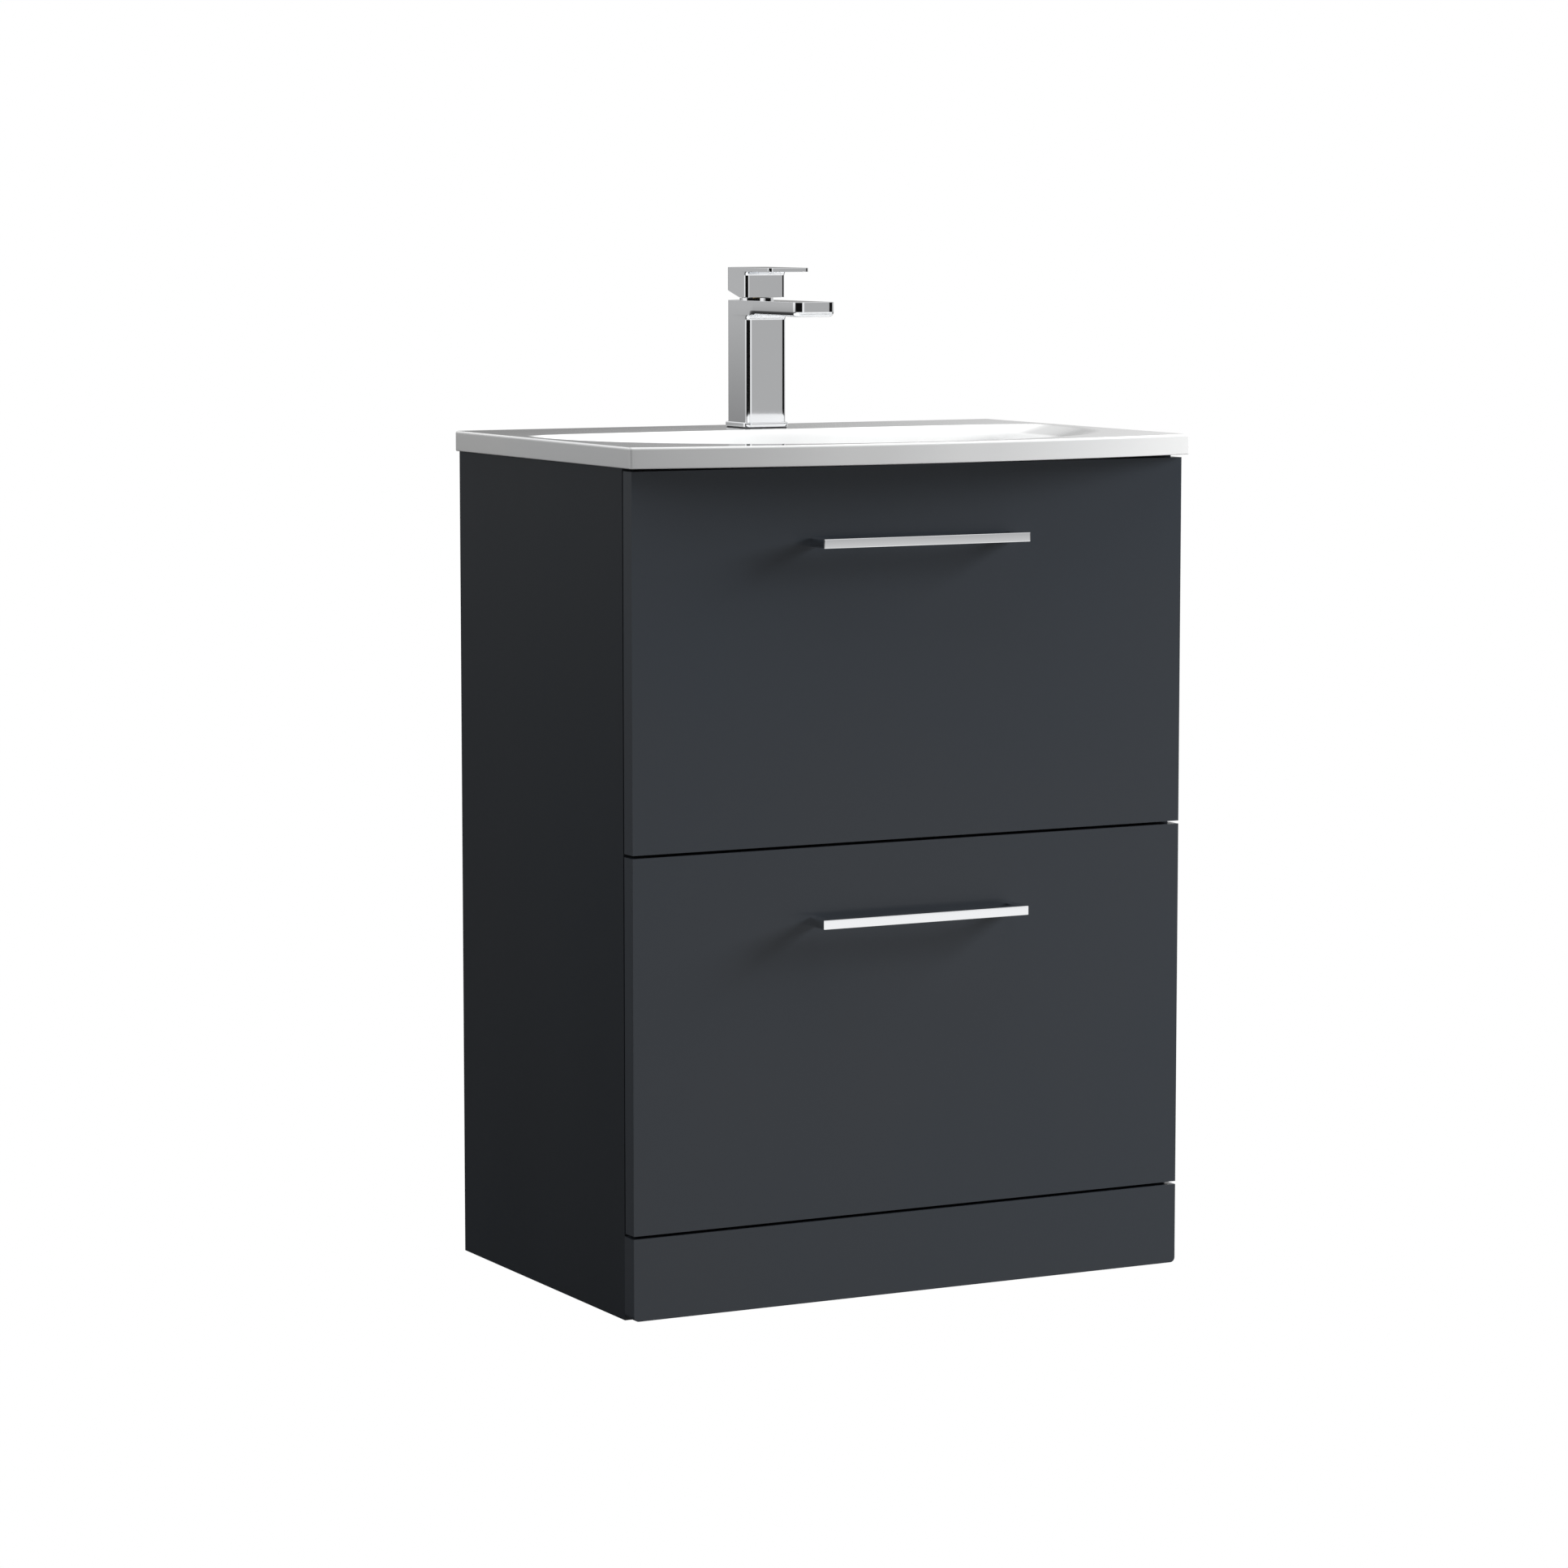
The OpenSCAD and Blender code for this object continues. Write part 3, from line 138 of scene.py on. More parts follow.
class Shader:
    """A material with a Principled shader and short calls for its nodes."""

    def __init__(self, name, colour, roughness, metallic=0.0):
        self.material = bpy.data.materials.new(name)
        self.material.use_nodes = True
        self.tree = self.material.node_tree
        self.tree.nodes.clear()
        out = self.tree.nodes.new("ShaderNodeOutputMaterial")
        self.bsdf = self.tree.nodes.new("ShaderNodeBsdfPrincipled")
        self.tree.links.new(self.bsdf.outputs[0], out.inputs[0])
        self.set(Base_Color=colour, Roughness=roughness, Metallic=metallic)
        self.bump_out = None
        self.where = self.tree.nodes.new("ShaderNodeTexCoord").outputs["Object"]

    def set(self, **values):
        """Sets or links the shader's own sockets."""
        for name, value in values.items():
            plug(self.tree, value, self.bsdf.inputs[name.replace("_", " ")])

    def node(self, kind, **inputs):
        made = self.tree.nodes.new(kind)
        for name, value in inputs.items():
            plug(self.tree, value, made.inputs[name])
        return made

    def scaled(self, scale):
        """Object coordinates, stretched by scale along X, Y and Z."""
        mapping = self.node("ShaderNodeMapping", Vector=self.where)
        mapping.inputs["Scale"].default_value = scale
        return mapping.outputs[0]

    def noise(self, scale, detail=2.0, rough=0.5, where=None):
        return self.node("ShaderNodeTexNoise", Vector=where or self.where, Scale=scale,
                         Detail=detail, Roughness=rough).outputs["Fac"]

    def span(self, value, low, high, out_low, out_high):
        return ranged(self.tree, value, low, high, out_low, out_high)

    def vary(self, noise, low, high):
        """A number that goes from low to high over a noise's usual range."""
        return self.span(noise, 0.3, 0.7, low, high)

    def blend(self, factor, one, two):
        return mix_colour(self.tree, factor, one, two)

    def bump(self, height, depth):
        """Adds a bump of that depth, in millimetres, after any earlier one."""
        made = self.node("ShaderNodeBump", Height=height, Strength=1.0, Distance=depth * MM)
        if self.bump_out is not None:
            self.tree.links.new(self.bump_out, made.inputs["Normal"])
        self.bump_out = made.outputs[0]
        self.set(Normal=self.bump_out)


# ---------------------------------------------------------------------------
# Materials
# ---------------------------------------------------------------------------
ANTHRACITE = (0.0352, 0.0405, 0.0485)
ANTHRACITE_COOL = (0.0332, 0.0398, 0.0492)


def lacquer(name, painted_light_factor, roughness, coat, shine):
    """Sprayed dark grey lacquer with a faint orange-peel ripple. Its colour is multiplied by the
    given factor, which paints light or shade into it: one paint made lighter or darker for how
    light falls on it.
    """
    one, two = (tuple(c * painted_light_factor for c in colour) for colour in (ANTHRACITE, ANTHRACITE_COOL))
    s = Shader(name, one, roughness)
    s.set(Coat_Weight=coat, Coat_Roughness=0.08, Coat_IOR=1.5, Specular_IOR_Level=shine)
    cloud = s.noise(3.0, detail=3.0, rough=0.55)
    s.set(Base_Color=s.blend(s.span(cloud, 0.35, 0.65, 0.0, 1.0), one, two))
    wipe = s.noise(1.0, detail=4.0, rough=0.6, where=s.scaled((9.0, 9.0, 2.5)))
    s.set(Roughness=s.vary(wipe, roughness * 0.92, roughness * 1.1))
    s.bump(s.noise(420.0, detail=1.0), 0.006)
    return s.material


# The cabinet's one paint made lighter: painted light on the fronts and the plinth.
def front_lacquer():
    return lacquer("front_lacquer", 1.16, 0.32, 0.19, 0.18)


# The cabinet's one paint made darker: painted shade on the side panels and the other boards.
def anthracite_board():
    return lacquer("anthracite_board", 0.68, 0.36, 0.08, 0.12)


def back_board():
    """Thin hardboard with a printed dark face and a fine fibre."""
    s = Shader("back_board", (0.06, 0.067, 0.076), 0.7)
    fibre = s.noise(1.0, detail=5.0, rough=0.65, where=s.scaled((260.0, 260.0, 700.0)))
    s.set(Base_Color=s.blend(fibre, (0.045, 0.050, 0.058), (0.085, 0.094, 0.105)))
    s.bump(fibre, 0.05)
    return s.material


def drawer_board():
    """Grey melamine with the look of a coarse linen."""
    s = Shader("drawer_board", (0.30, 0.315, 0.33), 0.48)
    along = s.noise(1.0, detail=3.0, rough=0.6, where=s.scaled((1500.0, 90.0, 1500.0)))
    across = s.noise(1.0, detail=3.0, rough=0.6, where=s.scaled((90.0, 1500.0, 90.0)))
    weave = s.span(maths(s.tree, "MULTIPLY", along, across), 0.12, 0.42, 0.0, 1.0)
    s.set(Base_Color=s.blend(weave, (0.235, 0.25, 0.262), (0.355, 0.37, 0.385)))
    s.set(Roughness=s.span(weave, 0.0, 1.0, 0.42, 0.56))
    s.bump(weave, 0.04)
    return s.material


def grained_wood(name, light, dark, roughness):
    """Bare wood with growth rings that run along X."""
    s = Shader(name, light, roughness)
    bend = s.noise(7.0, detail=3.0, rough=0.6)
    wave = s.node("ShaderNodeTexWave", Vector=s.scaled((12.0, 140.0, 140.0)),
                  Scale=1.0, Distortion=6.0, Detail=3.0)
    wave.wave_type = "RINGS"
    pores = s.noise(1.0, detail=4.0, rough=0.7, where=s.scaled((120.0, 1800.0, 1800.0)))
    base = s.blend(wave.outputs["Fac"], light, dark)
    s.set(Base_Color=s.blend(s.vary(bend, 0.0, 0.35), base, dark))
    s.set(Roughness=s.vary(pores, roughness, roughness + 0.15))
    s.bump(pores, 0.08)
    return s.material


def softwood():
    return grained_wood("softwood", (0.62, 0.45, 0.27), (0.42, 0.27, 0.14), 0.62)


def dowel_beech():
    return grained_wood("dowel_beech", (0.58, 0.40, 0.24), (0.44, 0.28, 0.15), 0.58)


def brushed(name, colour, roughness, spangle):
    """Zinc-plated steel: drawn lines, and spangle where it is sheet."""
    s = Shader(name, colour, roughness, 1.0)
    lines = s.noise(1.0, detail=3.0, rough=0.7, where=s.scaled((2600.0, 60.0, 2600.0)))
    grain = s.node("ShaderNodeTexVoronoi", Vector=s.where, Scale=260.0).outputs["Color"]
    tone = s.span(grain, 0.0, 1.0, 1.0 - spangle, 1.0)
    dull = tuple(c * 0.82 for c in colour)
    s.set(Base_Color=s.blend(tone, dull, colour))
    s.set(Roughness=s.span(lines, 0.25, 0.75, roughness * 0.8, roughness * 1.35))
    s.bump(lines, 0.012)
    return s.material


def zinc_steel():
    return brushed("zinc_steel", (0.60, 0.61, 0.62), 0.32, 0.25)


def runner_steel():
    return brushed("runner_steel", (0.56, 0.58, 0.60), 0.28, 0.45)


def screw_steel():
    return brushed("screw_steel", (0.42, 0.43, 0.45), 0.38, 0.2)


def zinc_casting():
    """Cast zinc with a grainy skin."""
    s = Shader("zinc_casting", (0.48, 0.49, 0.50), 0.48, 1.0)
    skin = s.noise(1800.0, detail=3.0, rough=0.7)
    s.set(Roughness=s.vary(skin, 0.40, 0.58))
    s.bump(skin, 0.04)
    return s.material


def chrome(name, roughness):
    """Polished chrome with a trace of haze and water marks."""
    s = Shader(name, (0.86, 0.87, 0.885), roughness, 1.0)
    haze = s.noise(22.0, detail=4.0, rough=0.6)
    s.set(Roughness=s.span(haze, 0.42, 0.75, roughness, roughness + 0.035))
    s.bump(s.noise(60.0, detail=1.0), 0.0015)
    return s.material


def tap_chrome():
    return chrome("tap_chrome", 0.035)


def handle_chrome():
    return chrome("handle_chrome", 0.05)


def ball_steel():
    return chrome("ball_steel", 0.12)


def basin_ceramic():
    """White glaze over fired clay: clear coat, slow waves and tiny pits."""
    s = Shader("basin_ceramic", (0.86, 0.865, 0.865), 0.16)
    s.set(Coat_Weight=1.0, Coat_Roughness=0.025, Coat_IOR=1.52)
    pool = s.noise(5.0, detail=3.0, rough=0.5)
    s.set(Base_Color=s.blend(s.span(pool, 0.35, 0.65, 0.0, 1.0),
                             (0.875, 0.878, 0.875), (0.845, 0.855, 0.862)))
    s.set(Roughness=s.vary(pool, 0.13, 0.2))
    s.bump(s.noise(14.0, detail=2.0), 0.04)
    s.bump(s.noise(900.0, detail=2.0), 0.004)
    return s.material


def plastic(name, colour, roughness, grain):
    """Moulded plastic with a fine grain in its skin, that many mm deep."""
    s = Shader(name, colour, roughness)
    skin = s.noise(1400.0, detail=3.0, rough=0.6)
    cloud = s.noise(30.0, detail=2.0, rough=0.5)
    darker = tuple(c * 0.88 for c in colour)
    s.set(Base_Color=s.blend(cloud, darker, colour))
    s.set(Roughness=s.vary(skin, roughness - 0.05, roughness + 0.08))
    s.bump(skin, grain)
    return s.material


def liner_plastic():
    return plastic("liner_plastic", (0.20, 0.21, 0.225), 0.5, 0.05)


def black_plastic():
    return plastic("black_plastic", (0.035, 0.035, 0.038), 0.45, 0.04)


def cartridge_plastic():
    return plastic("cartridge_plastic", (0.70, 0.68, 0.62), 0.42, 0.02)


def spindle_plastic():
    return plastic("spindle_plastic", (0.80, 0.80, 0.77), 0.3, 0.01)


def black_rubber():
    return plastic("black_rubber", (0.028, 0.028, 0.03), 0.72, 0.06)


def brass_rod():
    """Turned brass with fine lathe rings."""
    s = Shader("brass_rod", (0.80, 0.62, 0.30), 0.26, 1.0)
    turns = s.noise(1.0, detail=2.0, rough=0.6, where=s.scaled((80.0, 80.0, 2400.0)))
    s.set(Roughness=s.vary(turns, 0.2, 0.38))
    s.bump(turns, 0.02)
    return s.material


MAKERS = [anthracite_board, front_lacquer, back_board, drawer_board, softwood,
          dowel_beech, zinc_steel, zinc_casting, runner_steel, ball_steel,
          liner_plastic, handle_chrome, basin_ceramic, tap_chrome, black_rubber,
          black_plastic, cartridge_plastic, spindle_plastic, brass_rod, screw_steel]


def dress_nodes(materials):
    """Every CAD node gets the material of its slot."""
    for row in frame["record"]["subparts"]:
        obj = NODES[row["node"]]
        obj.data.materials.clear()
        obj.data.materials.append(materials[row["material_slot"]])


# ---------------------------------------------------------------------------
# Mesh helpers (millimetres in, metres out)
# ---------------------------------------------------------------------------
SAME_POINT = 1e-6       # metres
NO_LENGTH = 1e-7        # metres
QUARTER_N = 8           # steps in a quarter turn of a fillet


def finish_mesh(bm, name):
    bmesh.ops.remove_doubles(bm, verts=bm.verts, dist=SAME_POINT)
    bmesh.ops.dissolve_degenerate(bm, edges=bm.edges, dist=NO_LENGTH)
    bmesh.ops.recalc_face_normals(bm, faces=bm.faces)
    data = bpy.data.meshes.new(name)
    bm.to_mesh(data)
    bm.free()
    return data


def carve(data, cutter_data):
    """The mesh less the cutter, by an exact boolean."""
    made = []
    for mesh in (data, cutter_data):
        obj = bpy.data.objects.new("carving", mesh)
        bpy.context.scene.collection.objects.link(obj)
        made.append(obj)
    boolean = made[0].modifiers.new("cut", "BOOLEAN")
    boolean.operation = "DIFFERENCE"
    boolean.solver = "EXACT"
    boolean.object = made[1]
    graph = bpy.context.evaluated_depsgraph_get()
    result = bpy.data.meshes.new_from_object(made[0].evaluated_get(graph))
    for obj in made:
        bpy.data.objects.remove(obj)
    return result


def new_piece(data, slot, body, replaced, sharp, materials):
    """An object on its body, dressed for its slot, in place of a CAD node."""
    obj = bpy.data.objects.new(replaced + "_shape", data)
    bpy.context.scene.collection.objects.link(obj)
    data.materials.clear()
    data.materials.append(materials[slot])
    smooth_shading(obj, sharp)
    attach(obj, body)
    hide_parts(replaced)


def smooth_shading(obj, sharp):
    """Smooth, with a crease at every edge that turns by more than sharp degrees."""
    for polygon in obj.data.polygons:
        polygon.use_smooth = True
    obj.data.set_sharp_from_angle(angle=math.radians(sharp))
    normals = obj.modifiers.new("normals", "WEIGHTED_NORMAL")
    normals.keep_sharp = True


def add_ring(bm, points):
    """Vertices at points given in millimetres."""
    return [bm.verts.new((x * MM, y * MM, z * MM)) for x, y, z in points]


def flat(outline, z):
    return [(x, y, z) for x, y in outline]


def skin(bm, rings, cap_start=False, cap_end=False):
    """Joins a stack of equal rings of vertices by quads."""
    count = len(rings[0])
    for one, two in zip(rings, rings[1:]):
        for i in range(count):
            j = (i + 1) % count
            bm.faces.new((one[i], one[j], two[j], two[i]))
    if cap_start:
        bm.faces.new(list(reversed(rings[0])))
    if cap_end:
        bm.faces.new(rings[-1])


def ring_edges(bm, ring):
    edges = []
    for one, two in zip(ring, ring[1:] + ring[:1]):
        edges.append(bm.edges.get((one, two)) or bm.edges.new((one, two)))
    return edges


def fill_between(bm, *rings):
    """A flat face from the first ring to the rings inside it."""
    edges = [edge for ring in rings for edge in ring_edges(bm, ring)]
    bmesh.ops.triangle_fill(bm, edges=edges, use_beauty=True)


def arc(cx, cy, radius, start, end, steps):
    """Points on an arc; angles in degrees, both ends included."""
    points = []
    for k in range(steps + 1):
        a = math.radians(start + (end - start) * k / steps)
        points.append((cx + radius * math.cos(a), cy + radius * math.sin(a)))
    return points


def circle(cx, cy, radius, count, start=0.0):
    """count points round a circle."""
    return arc(cx, cy, radius, start, start + 360 - 360 / count, count - 1)


def rounded_square(cx, cy, half, radius, steps=8):
    """A square about cx, cy with rounded corners."""
    points = []
    for quarter, (side_x, side_y) in enumerate(((1, 1), (-1, 1), (-1, -1), (1, -1))):
        points += arc(cx + side_x * (half - radius), cy + side_y * (half - radius), radius,
                      90 * quarter, 90 * (quarter + 1), steps)
    return points


def quarter_turn(steps=QUARTER_N):
    """Angles from 0 to a quarter turn, in radians."""
    return [math.pi / 2 * k / steps for k in range(steps + 1)]


def edge_steps(radius, steps=4):
    """(inset, drop) pairs round an edge, from the side face to the end face."""
    return [(radius * (1 - math.cos(a)), radius * (1 - math.sin(a))) for a in quarter_turn(steps)]


def shares(steps):
    """Even steps from 0 to 1, both ends included."""
    return [k / steps for k in range(steps + 1)]


def smooth_step(t):
    t = min(max(t, 0.0), 1.0)
    return t * t * (3 - 2 * t)


# ---------------------------------------------------------------------------
# Handles
# ---------------------------------------------------------------------------
HANDLE_LOW, HANDLE_HIGH = box_mm("upper_handle")
HANDLE_HALF = HANDLE_HIGH[0]
HANDLE_FRONT = HANDLE_LOW[1]
FACE_Y = HANDLE_HIGH[1]                   # the drawer front that the legs stand on
HANDLE_S = HANDLE_HIGH[2] - HANDLE_LOW[2]   # side of the square bar
HANDLE_EDGE = 0.7
HANDLE_BEND_OUT, HANDLE_BEND_IN = 1.3, 0.6
HANDLE_BEND_N = 5


def handle_outline(inset):
    """The bent bar from above, with both legs ending on the front."""
    out_x, in_x = HANDLE_HALF - inset, HANDLE_HALF - HANDLE_S + inset
    front, back = HANDLE_FRONT + inset, HANDLE_FRONT + HANDLE_S - inset
    r_out, r_in, n = HANDLE_BEND_OUT - inset, HANDLE_BEND_IN + inset, HANDLE_BEND_N
    return ([(-out_x, FACE_Y)] + arc(-out_x + r_out, front + r_out, r_out, 180, 270, n)
            + arc(out_x - r_out, front + r_out, r_out, 270, 360, n) + [(out_x, FACE_Y)]
            + [(in_x, FACE_Y)] + arc(in_x - r_in, back + r_in, r_in, 0, -90, n)
            + arc(-in_x + r_in, back + r_in, r_in, 270, 180, n) + [(-in_x, FACE_Y)])


def handle_mesh(name):
    bm = bmesh.new()
    low, high = box_mm(name)
    z, half = (low[2] + high[2]) / 2, HANDLE_S / 2
    rings = [add_ring(bm, flat(handle_outline(inset), z - half + drop))
             for inset, drop in reversed(edge_steps(HANDLE_EDGE))]
    rings += [add_ring(bm, flat(handle_outline(inset), z + half - drop))
              for inset, drop in edge_steps(HANDLE_EDGE)]
    skin(bm, rings, True, True)
    return finish_mesh(bm, name)


# ---------------------------------------------------------------------------
# Tap
# ---------------------------------------------------------------------------
TAP_LOW, TAP_HIGH = box_mm("tap_body")
LEVER_BOX_LOW, LEVER_BOX_HIGH = box_mm("tap_lever")
CARTRIDGE_LOW, CARTRIDGE_HIGH = box_mm("tap_cartridge")
AERATOR_LOW, AERATOR_HIGH = box_mm("tap_aerator")
SEAT_GAP = 0.1                            # round a turned part in its seat
TOP_EDGE_R = 0.35                         # the spout's and the plate's upper edges
LIGHT_EDGE = 0.3                          # broken edges underneath
ARC_N = 7                                 # steps in a corner's arc

FOOT_HALF = TAP_HIGH[0]
FOOT_R = 7.0
FOOT_LOW = box_mm("tap_gasket")[1][2]
FOOT_TOP = FOOT_LOW + 4.5
FOOT_EDGE = 1.0
SPIGOT_R = 16.5
TAP_Y = TAP_HIGH[1] - FOOT_HALF
TAP_HALF = LEVER_BOX_HIGH[0]
TAP_R = 5.0
COLUMN_FRONT = TAP_Y - TAP_HALF
COLUMN_BACK = TAP_Y + TAP_HALF
COLUMN_LOW = FOOT_TOP - 0.5
COLUMN_TOP = TAP_HIGH[2]
FRONT_RUN = 4.0                           # length of the points beside a corner
SPOUT_TIP = TAP_LOW[1]
SPOUT_LOW = COLUMN_TOP - 14.5
SPOUT_FILLET = 5.0
SPOUT_EDGE = 5.0
SPOUT_BLEND = 10.0
TIP_R = 9.0
CHAMBER_R = CARTRIDGE_HIGH[0] + SEAT_GAP
CHAMBER_LOW = CARTRIDGE_LOW[2]
AERATOR_Y = (AERATOR_LOW[1] + AERATOR_HIGH[1]) / 2
AERATOR_R = AERATOR_HIGH[0] + SEAT_GAP
AERATOR_TOP = AERATOR_HIGH[2] + SEAT_GAP


def mirrored(left):
    """A closed outline from its left half, listed from back to front."""
    return left + [(-x, y) for x, y in reversed(left)]


def column_outline(front):
    """The column from above, with as many points as the spout's outline."""
    left = arc(-TAP_HALF + TAP_R, COLUMN_BACK - TAP_R, TAP_R, 90, 180, ARC_N)
    left += arc(-TAP_HALF + TAP_R, front + TAP_R, TAP_R, 180, 270, ARC_N)
    for k in range(ARC_N + 1):
        left.append((-TAP_HALF + TAP_R + FRONT_RUN * (k + 1) / (ARC_N + 1), front))
    return mirrored(left)


def spout_outline(edge, inset=0.0):
    """The spout and column from above; edge is the inset of the spout's
    lower edges, which fades out where the spout joins the column."""
    half, r = TAP_HALF - inset, TAP_R - inset
    left = arc(-half + r, COLUMN_BACK - inset - r, r, 90, 180, ARC_N)
    join = COLUMN_FRONT - SPOUT_FILLET
    for t in shares(ARC_N):
        left.append((-half + edge * smooth_step(t), join - SPOUT_BLEND * t))
    tip_r = TIP_R - inset - edge
    left += arc(-half + edge + tip_r, SPOUT_TIP + inset + edge + tip_r, tip_r, 180, 270, ARC_N)
    return mirrored(left)


def tap_column(bm):
    """The column up to the fillet under the spout; gives its last ring."""
    rings = [add_ring(bm, flat(column_outline(COLUMN_FRONT), COLUMN_LOW))]
    for a in quarter_turn():
        front = COLUMN_FRONT - SPOUT_FILLET * (1 - math.cos(a))
        z = SPOUT_LOW - SPOUT_FILLET * (1 - math.sin(a))
        rings.append(add_ring(bm, flat(column_outline(front), z)))
    skin(bm, rings, cap_start=True)
    return rings[-1]


def tap_spout(bm, neck):
    """The spout on the column's neck, open for the aerator and cartridge."""
    rings = []
    for a in quarter_turn():
        edge = SPOUT_EDGE * (1 - math.sin(a))
        z = SPOUT_LOW + SPOUT_EDGE * (1 - math.cos(a))
        rings.append(add_ring(bm, flat(spout_outline(edge), z)))
    for inset, drop in edge_steps(TOP_EDGE_R, 3):
        rings.append(add_ring(bm, flat(spout_outline(0.0, inset), COLUMN_TOP - drop)))
    skin(bm, rings)
    pocket = [add_ring(bm, flat(circle(0, AERATOR_Y, AERATOR_R, 48), z))
              for z in (SPOUT_LOW, AERATOR_TOP)]
    skin(bm, pocket, cap_end=True)
    fill_between(bm, rings[0], neck, pocket[0])
    chamber = [add_ring(bm, flat(circle(0, TAP_Y, CHAMBER_R, 60), z))
               for z in (COLUMN_TOP, CHAMBER_LOW)]
    skin(bm, chamber, cap_end=True)
    fill_between(bm, rings[-1], chamber[0])


def tap_foot(bm):
    """The square foot, and the round spigot in the basin's tap hole."""
    spigot = [add_ring(bm, flat(circle(0, TAP_Y, SPIGOT_R, 48, 45), z))
              for z in (TAP_LOW[2], FOOT_LOW)]
    skin(bm, spigot, True, True)
    foot = [add_ring(bm, flat(foot_outline(LIGHT_EDGE), FOOT_LOW)),
            add_ring(bm, flat(foot_outline(0.0), FOOT_LOW + LIGHT_EDGE))]
    foot += [add_ring(bm, flat(foot_outline(inset), FOOT_TOP - drop))
             for inset, drop in edge_steps(FOOT_EDGE)]
    skin(bm, foot, True, True)


def foot_outline(inset):
    return rounded_square(0.0, TAP_Y, FOOT_HALF - inset, FOOT_R - inset)


def tap_body_mesh():
    bm = bmesh.new()
    neck = tap_column(bm)
    tap_spout(bm, neck)
    tap_foot(bm)
    return finish_mesh(bm, "tap_body")


LEVER_LOW = LEVER_BOX_LOW[2]
LEVER_R = 4.0
LEVER_FRONT = TAP_Y - 20.0
LEVER_FILLET = 4.0
PLATE_TOP = LEVER_BOX_HIGH[2]
PLATE_LOW = PLATE_TOP - 4.2
PLATE_TIP = LEVER_BOX_LOW[1]
SLANT_RISE, SLANT_RUN = 7.5, 27.5         # the corner that gives the lift its room
SLANT_Y = COLUMN_BACK - SLANT_RUN


def lever_outline(front, inset=0.0):
    """The lever from above, with a point on each side where the slant starts."""
    half, r = TAP_HALF - inset, LEVER_R - inset
    left = arc(-half + r, COLUMN_BACK - inset - r, r, 90, 180, ARC_N)
    left.append((-half, SLANT_Y))
    left += arc(-half + r, front + r, r, 180, 270, ARC_N)
    return mirrored(left)


def lever_foot(inset, rise):
    """The lowest outline, which follows the slanted corner at the back."""
    return [(x, y, LEVER_LOW + rise + max(0.0, y - SLANT_Y) * SLANT_RISE / SLANT_RUN)
            for x, y in lever_outline(LEVER_FRONT + inset, inset)]


def lever_mesh():
    bm = bmesh.new()
    rings = [add_ring(bm, lever_foot(LIGHT_EDGE, 0.0)), add_ring(bm, lever_foot(0.0, LIGHT_EDGE))]
    for a in quarter_turn():
        front = LEVER_FRONT - LEVER_FILLET * (1 - math.cos(a))
        z = PLATE_LOW - LEVER_FILLET * (1 - math.sin(a))
        rings.append(add_ring(bm, flat(lever_outline(front), z)))
    rings.append(add_ring(bm, flat(lever_outline(PLATE_TIP + LIGHT_EDGE), PLATE_LOW)))
    rings.append(add_ring(bm, flat(lever_outline(PLATE_TIP), PLATE_LOW + LIGHT_EDGE)))
    rings += [add_ring(bm, flat(lever_outline(PLATE_TIP + inset, inset), PLATE_TOP - drop))
              for inset, drop in edge_steps(TOP_EDGE_R, 3)]
    skin(bm, rings, cap_end=True)
    first = rings[0]
    slant = ARC_N + 1                     # the outline's point where the slant starts
    back = first[:slant + 1] + first[len(first) - slant - 1:]
    front = first[slant:len(first) - slant]
    bm.faces.new(list(reversed(back)))
    bm.faces.new(list(reversed(front)))
    return finish_mesh(bm, "tap_lever")


# ---------------------------------------------------------------------------
# Basin
# ---------------------------------------------------------------------------
BASIN_LOW, BASIN_HIGH = box_mm("basin")
WASTE_LOW, WASTE_HIGH = box_mm("waste_body")
SLAB_HALF = BASIN_HIGH[0]
SLAB_BACK = BASIN_HIGH[1]
SLAB_TOP = BASIN_HIGH[2]
SLAB_LOW = SLAB_TOP - 20.0
SLAB_R = 3.0
SLAB_MIN_R = 0.3                          # left of a corner that is inset
SLAB_N = 6                                # steps in a corner's arc
TOP_EDGE = 2.5
LOW_EDGE = 1.0
NOSE_Y = -SLAB_BACK
BOW_SAG = 38.0                            # from the nose back to the front corners
BOW_R = (SLAB_HALF ** 2 + BOW_SAG ** 2) / (2 * BOW_SAG)
BOW_Y = NOSE_Y + BOW_R
BOW_N = 60
CERAMIC = 9.0

RIM_HALF = SLAB_HALF - 14.0
RIM_FRONT = NOSE_Y + 17.0
RIM_WIDE = 40.0                           # from the rim's widest line to the deck
RIM_ROUND, RIM_REACH = 4.0, 6.4           # of the rim's rounding, out and down
DECK_Y = SLAB_BACK - 118.0
WELL_HALF = SLAB_HALF - 61.0
WELL_FRONT = RIM_FRONT + 81.0
WELL_REAR = DECK_Y - 2.0
WELL_WIDE = 0.4                           # widest line, share of the way back
WELL_TOP = SLAB_TOP - 10.0
WELL_DROP = 100.0
WELL_FLOOR = WELL_TOP - WELL_DROP
WELL_TAPER = 0.62
WELL_STEP = 9                             # degrees from ring to ring
STEP_ROUND = 13.0
STEP_LIMIT = 0.9                          # most of the way to the next ring
OVAL_RIM, OVAL_WELL, OVAL_REAR = 2.3, 2.9, 5.0      # a higher number is squarer

BOWL_N = 160
BOWL_EYE = (0.0, 10.0)
CROWDING = 0.16
DENSE = 1440                              # points of an outline before by_bearing

WASTE_Y = (WASTE_LOW[1] + WASTE_HIGH[1]) / 2
WASTE_HOLE_R = 22.455
WASTE_SEAT_R, WASTE_SEAT = 32.0, 0.5      # shallow seat for the flange's seal
BOSS_LOW = BASIN_LOW[2]
BOSS_R = 39.5
BOSS_EDGE = 1.0

